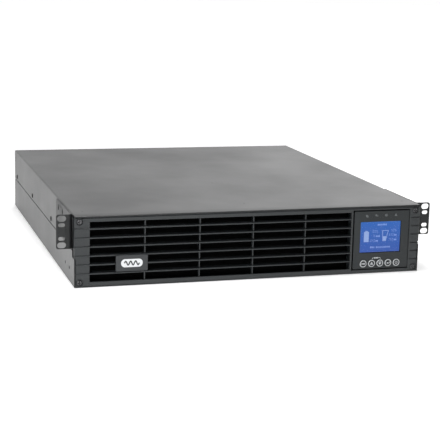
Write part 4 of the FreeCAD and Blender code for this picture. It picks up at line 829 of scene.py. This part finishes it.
# --------------------------------------------------------------- fan impellers
for i, fx in enumerate(FAN_X):
    node = "fan_rotor_%s" % ("left", "right")[i]
    rlo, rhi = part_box(node)
    y0 = (rlo.y - YF) / MM                        # closed end of the hub
    bm = bmesh.new()
    prof = [(0.0, y0 + 0.02)]
    for t in range(7):                            # rounded nose of the hub
        a = math.radians(-90 + 15 * t)
        prof.append((15.2 + 1.8 * math.cos(a), y0 + 1.82 + 1.8 * math.sin(a)))
    prof += [(17.0, y0 + 18.5), (15.2, y0 + 18.5), (15.2, y0 + 2.4), (0.0, y0 + 2.4)]
    add_lathe(bm, fx, FAN_Z, prof, 84)
    add_lathe(bm, fx, FAN_Z, [(0.0, y0 + 2.3), (2.5, y0 + 2.3), (2.5, y0 + 20.2), (0.0, y0 + 20.2)], 32)
    for b in range(7):
        rings = []
        nr, ns = 12, 11
        for q in range(nr + 1):
            f = q / nr
            r = 16.4 + f * (37.2 - 16.4)
            chord = 15.5 + 7.5 * f
            pitch = math.radians(50.0 - 20.0 * f)          # from the plane of rotation
            skew = math.radians(14.0 * f * f)
            loop = []
            for side in (1, -1):
                for t in (range(ns) if side > 0 else range(ns - 1, -1, -1)):
                    s = t / (ns - 1) * 2 - 1
                    th = 0.28 + 0.55 * (1 - s * s) * (1 - 0.35 * f)
                    camber = 1.5 * (1 - s * s)
                    ax = s * chord / 2 * math.sin(pitch) + (side * th + camber) * math.cos(pitch)
                    tg = s * chord / 2 * math.cos(pitch) - (side * th + camber) * math.sin(pitch)
                    ang = 2 * math.pi * b / 7 + skew + tg / r
                    loop.append(bm.verts.new(P(fx + r * math.cos(ang), y0 + 9.3 + ax, FAN_Z + r * math.sin(ang))))
            rings.append(loop)
        n = len(rings[0])
        for ra, rb in zip(rings, rings[1:]):
            for j in range(n):
                k = (j + 1) % n
                bm.faces.new((ra[j], ra[k], rb[k], rb[j]))
        bm.faces.new(rings[0][::-1])
        bm.faces.new(rings[-1])
    rot = new_mesh("impeller_%s" % ("left", "right")[i], bm, "fan", node.replace("fan_rotor", "fan"),
                   smooth=True)
    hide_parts(node)
    es = rot.modifiers.new("crisp", "EDGE_SPLIT")
    es.split_angle = math.radians(50)

# ------------------------------------------------- contacts in the rear sockets
OUT_X, OUT_Z = (-24.0, 8.0, 40.0, 72.0), (18.0, 46.0)
bm = bmesh.new()


def add_box(bm, x0, x1, y0, y1, z0, z1):
    add_prism(bm, rect(x0, x1, z0, z1), y0, y1)


for x in OUT_X:
    for z in OUT_Z:
        for dx, dz in ((-7.0, -1.0), (0.0, 1.5), (7.0, -1.0)):
            for s in (-1, 1):
                c = x + dx + s * 1.08
                add_box(bm, c - 0.16, c + 0.16, REAR - 13.2, REAR - 3.2, z + dz - 2.0, z + dz + 2.0)
new_mesh("socket_contacts", bm, "tin", "chassis")


# ---------------------------------------------------------- marks on the rear
def mirror(bm, x0):
    """Turn marks about the line x0, so that they read from behind."""
    for v in bm.verts:
        v.co.x = 2 * x0 * MM - v.co.x


ry0, ry1 = REAR + 0.003, REAR + 0.045
bm = bmesh.new()
for z, zt, sgn in ((OUT_Z[1], 61.2, 1), (OUT_Z[0], 3.6, -1)):
    zi = z + sgn * 12.0
    add_ribbon(bm, [(-41.0, zi - sgn * 3.0), (-41.0, zt), (19.6, zt)], 0.5, ry0, ry1)
    add_ribbon(bm, [(28.4, zt), (89.0, zt), (89.0, zi - sgn * 3.0)], 0.5, ry0, ry1)
add_ribbon(bm, rrect(145.0, 217.0, 5.0, 36.0, 2.0), 0.5, ry0, ry1, True)
add_ribbon(bm, rrect(99.5, 140.5, 9.0, 35.0, 2.0), 0.5, ry0, ry1, True)
new_mesh("rear_group_lines", bm, "print_dim", "chassis")
bm = bmesh.new()
add_number(bm, "1", 23.4, 59.95, 2.5, ry0, ry1)
add_number(bm, "2", 23.4, 2.35, 2.5, ry0, ry1)
mirror(bm, 24.0)
new_mesh("rear_group_numbers", bm, "print_dim", "chassis")
# earth symbol beside the grounding screw
bm = bmesh.new()
gx, gz = 95.0, 73.0
add_prism(bm, rect(gx - 0.25, gx + 0.25, gz, gz + 3.0), ry0, ry1)
for w, dz in ((2.6, 0.0), (1.7, -1.0), (0.8, -2.0)):
    add_prism(bm, rect(gx - w, gx + w, gz + dz - 0.5, gz + dz - 0.05), ry0, ry1)
new_mesh("rear_earth_mark", bm, "print_dim", "chassis")

# ------------------------------------------- second colours on some CAD nodes
def recolour(name, mat, test):
    """Give the faces of a node whose middle passes the test another finish."""
    ob = NODES[name]
    me = ob.data
    me.materials.append(MAT[mat])
    k = len(me.materials) - 1
    for p in me.polygons:
        c = p.center
        if test(c.x / MM, (c.y - YF) / MM, c.z / MM):
            p.material_index = k


# plastic bodies of the USB and emergency-off ports, and the insert of the serial port
recolour("communication_ports", "black_plastic", lambda x, y, z: x > 199.0)
recolour("communication_ports", "socket", lambda x, y, z: (x - 166.0) ** 2 < 7.0 ** 2 and y > REAR + 4.9)
recolour("communication_ports", "socket", lambda x, y, z: 186.0 < x < 195.5 and abs(z - 22) < 3.7 and y < REAR + 0.3)
# contact blades of the inlet
recolour("power_inlet", "pin", lambda x, y, z: any(
    abs(x - 120.0 - dx) <= 1.001 and abs(z - 52.0 - dz) <= 2.001 for dx, dz in ((-7.0, -1.0), (0.0, 1.5), (7.0, -1.0))))
# the main board gets a second slot with the same board finish; no face is given it
recolour("main_board", "board", lambda x, y, z: False)

# ------------------------------------------------------------------- stage
world = bpy.data.worlds.new("studio")
bpy.context.scene.world = world
world.use_nodes = True
wt = world.node_tree
wt.nodes.clear()


def wnode(kind, **inputs):
    n = wt.nodes.new(kind)
    return n


def wmap(src, a, b, c, d, smooth=True):
    n = wt.nodes.new("ShaderNodeMapRange")
    n.interpolation_type = "SMOOTHSTEP" if smooth else "LINEAR"
    for k, v in zip(("From Min", "From Max", "To Min", "To Max"), (a, b, c, d)):
        n.inputs[k].default_value = v
    wt.links.new(src, n.inputs["Value"])
    return n.outputs["Result"]


def wmul(a, b):
    n = wt.nodes.new("ShaderNodeMath")
    n.operation = "MULTIPLY"
    wt.links.new(a, n.inputs[0])
    if isinstance(b, float):
        n.inputs[1].default_value = b
    else:
        wt.links.new(b, n.inputs[1])
    return n.outputs[0]


# each part of the studio's walls: the ranges of the direction's x, y and z over which it fades in
WALLS = (
    ((0.35, -0.1), (0.1, 0.6), (0.55, 0.1)),       # low, behind, to the left
    ((-0.05, 0.5), (0.1, 0.6), (0.55, 0.1)),       # low, behind, to the right
    (None, (0.0, 0.5), (0.15, 0.6)),               # high, behind
    ((-0.2, -0.8), None, None),                    # left
    ((0.3, 0.9), None, None),                      # right
    (None, None, (0.6, 0.95)),                     # ceiling
    (None, (-0.1, -0.7), None),                    # in front
)
wc = wt.nodes.new("ShaderNodeTexCoord")
wsep = wt.nodes.new("ShaderNodeSeparateXYZ")
wt.links.new(wc.outputs["Generated"], wsep.inputs[0])
level = None
for k, ranges in enumerate(WALLS):
    part = None
    for axis, r in zip("XYZ", ranges):
        if r is None:
            continue
        f = wmap(wsep.outputs[axis], min(r), max(r), 0.0 if r[0] < r[1] else 1.0, 1.0 if r[0] < r[1] else 0.0)
        part = f if part is None else wmul(part, f)
    part = wmul(part, float(LEVELS[k]))
    if level is None:
        level = part
    else:
        n = wt.nodes.new("ShaderNodeMath")
        n.operation = "ADD"
        wt.links.new(level, n.inputs[0])
        wt.links.new(part, n.inputs[1])
        level = n.outputs[0]
lit = wt.nodes.new("ShaderNodeBackground")
lit.inputs[0].default_value = (1.0, 1.0, 1.0, 1.0)
wt.links.new(level, lit.inputs[1])
seen = wt.nodes.new("ShaderNodeBackground")
seen.inputs[0].default_value = (1.0, 1.0, 1.0, 1.0)
seen.inputs[1].default_value = 1.0
path = wt.nodes.new("ShaderNodeLightPath")
choose = wt.nodes.new("ShaderNodeMixShader")
wt.links.new(path.outputs["Is Camera Ray"], choose.inputs[0])
wt.links.new(lit.outputs[0], choose.inputs[1])
wt.links.new(seen.outputs[0], choose.inputs[2])
wout = wt.nodes.new("ShaderNodeOutputWorld")
wt.links.new(choose.outputs[0], wout.inputs[0])

z0 = CAD_LO.z - 0.0005
me = bpy.data.meshes.new("floor")
S = 9.0
me.from_pydata([(-S, -S, z0), (S, -S, z0), (S, S, z0), (-S, S, z0)], [], [(0, 1, 2, 3)])
floor = bpy.data.objects.new("floor", me)
bpy.context.scene.collection.objects.link(floor)
floor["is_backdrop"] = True
m, nt, b = tree("pale_floor")
c = mix(nt, maprange(nt, noise_tex(nt, coords(nt), 2.0), 0.0, 1.0), (0.83, 0.83, 0.83, 1), (0.85, 0.85, 0.85, 1))
nt.links.new(c, b.inputs["Base Color"])
b.inputs["Emission Color"].default_value = (1.0, 1.0, 1.0, 1.0)
# light comes through the floor, more of it in front of the unit's left half and far out
tc = nt.nodes.new("ShaderNodeTexCoord")


def around(x, y, r0, r1, v0, v1):
    d = nt.nodes.new("ShaderNodeVectorMath")
    d.operation = "DISTANCE"
    nt.links.new(tc.outputs["Object"], d.inputs[0])
    d.inputs[1].default_value = P(x, y, z0 / MM)
    r = nt.nodes.new("ShaderNodeMapRange")
    r.interpolation_type = "SMOOTHSTEP"
    for k, v in zip(("From Min", "From Max", "To Min", "To Max"), (r0, r1, v0, v1)):
        r.inputs[k].default_value = v
    nt.links.new(d.outputs["Value"], r.inputs["Value"])
    return r.outputs["Result"]


both = nt.nodes.new("ShaderNodeMath")
both.operation = "MULTIPLY"
nt.links.new(around(-170.0, -330.0, 0.10, 0.55, LEVELS[11] * FLOOR_FRONT, LEVELS[11]), both.inputs[0])
nt.links.new(around(0.0, 250.0, 0.8, 1.9, 1.0, 1.5), both.inputs[1])
nt.links.new(both.outputs[0], b.inputs["Emission Strength"])
b.inputs["Roughness"].default_value = 0.8
b.inputs["Specular IOR Level"].default_value = 0.1
me.materials.append(m)


def area(name, pos, target, size, power, colour=(1, 1, 1)):
    ld = bpy.data.lights.new(name, "AREA")
    ld.shape = "RECTANGLE"
    ld.size, ld.size_y = size
    ld.energy = power
    ld.color = colour
    ob = bpy.data.objects.new(name, ld)
    bpy.context.scene.collection.objects.link(ob)
    d = P(*target) - P(*pos)
    ob.rotation_euler = d.to_track_quat("-Z", "Y").to_euler()
    ob.location = P(*pos)
    return ob


area("overhead_softbox", (-120.0, 80.0, 1250.0), (-60.0, 120.0, 40.0), (0.42, 0.34), LEVELS[7])
area("back_right_softbox", (650.0, 1350.0, 1500.0), (120.0, 30.0, 86.0), (0.6, 0.4), LEVELS[8])
area("front_left_softbox", (-850.0, -800.0, 700.0), (-150.0, 0.0, 40.0), (0.6, 0.6), LEVELS[9])
area("front_top_softbox", (-150.0, -750.0, 1100.0), (-20.0, 0.0, 40.0), (1.0, 0.7), LEVELS[10])

bpy.context.scene.view_settings.view_transform = "Standard"
bpy.context.scene.view_settings.look = "None"

lo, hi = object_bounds()
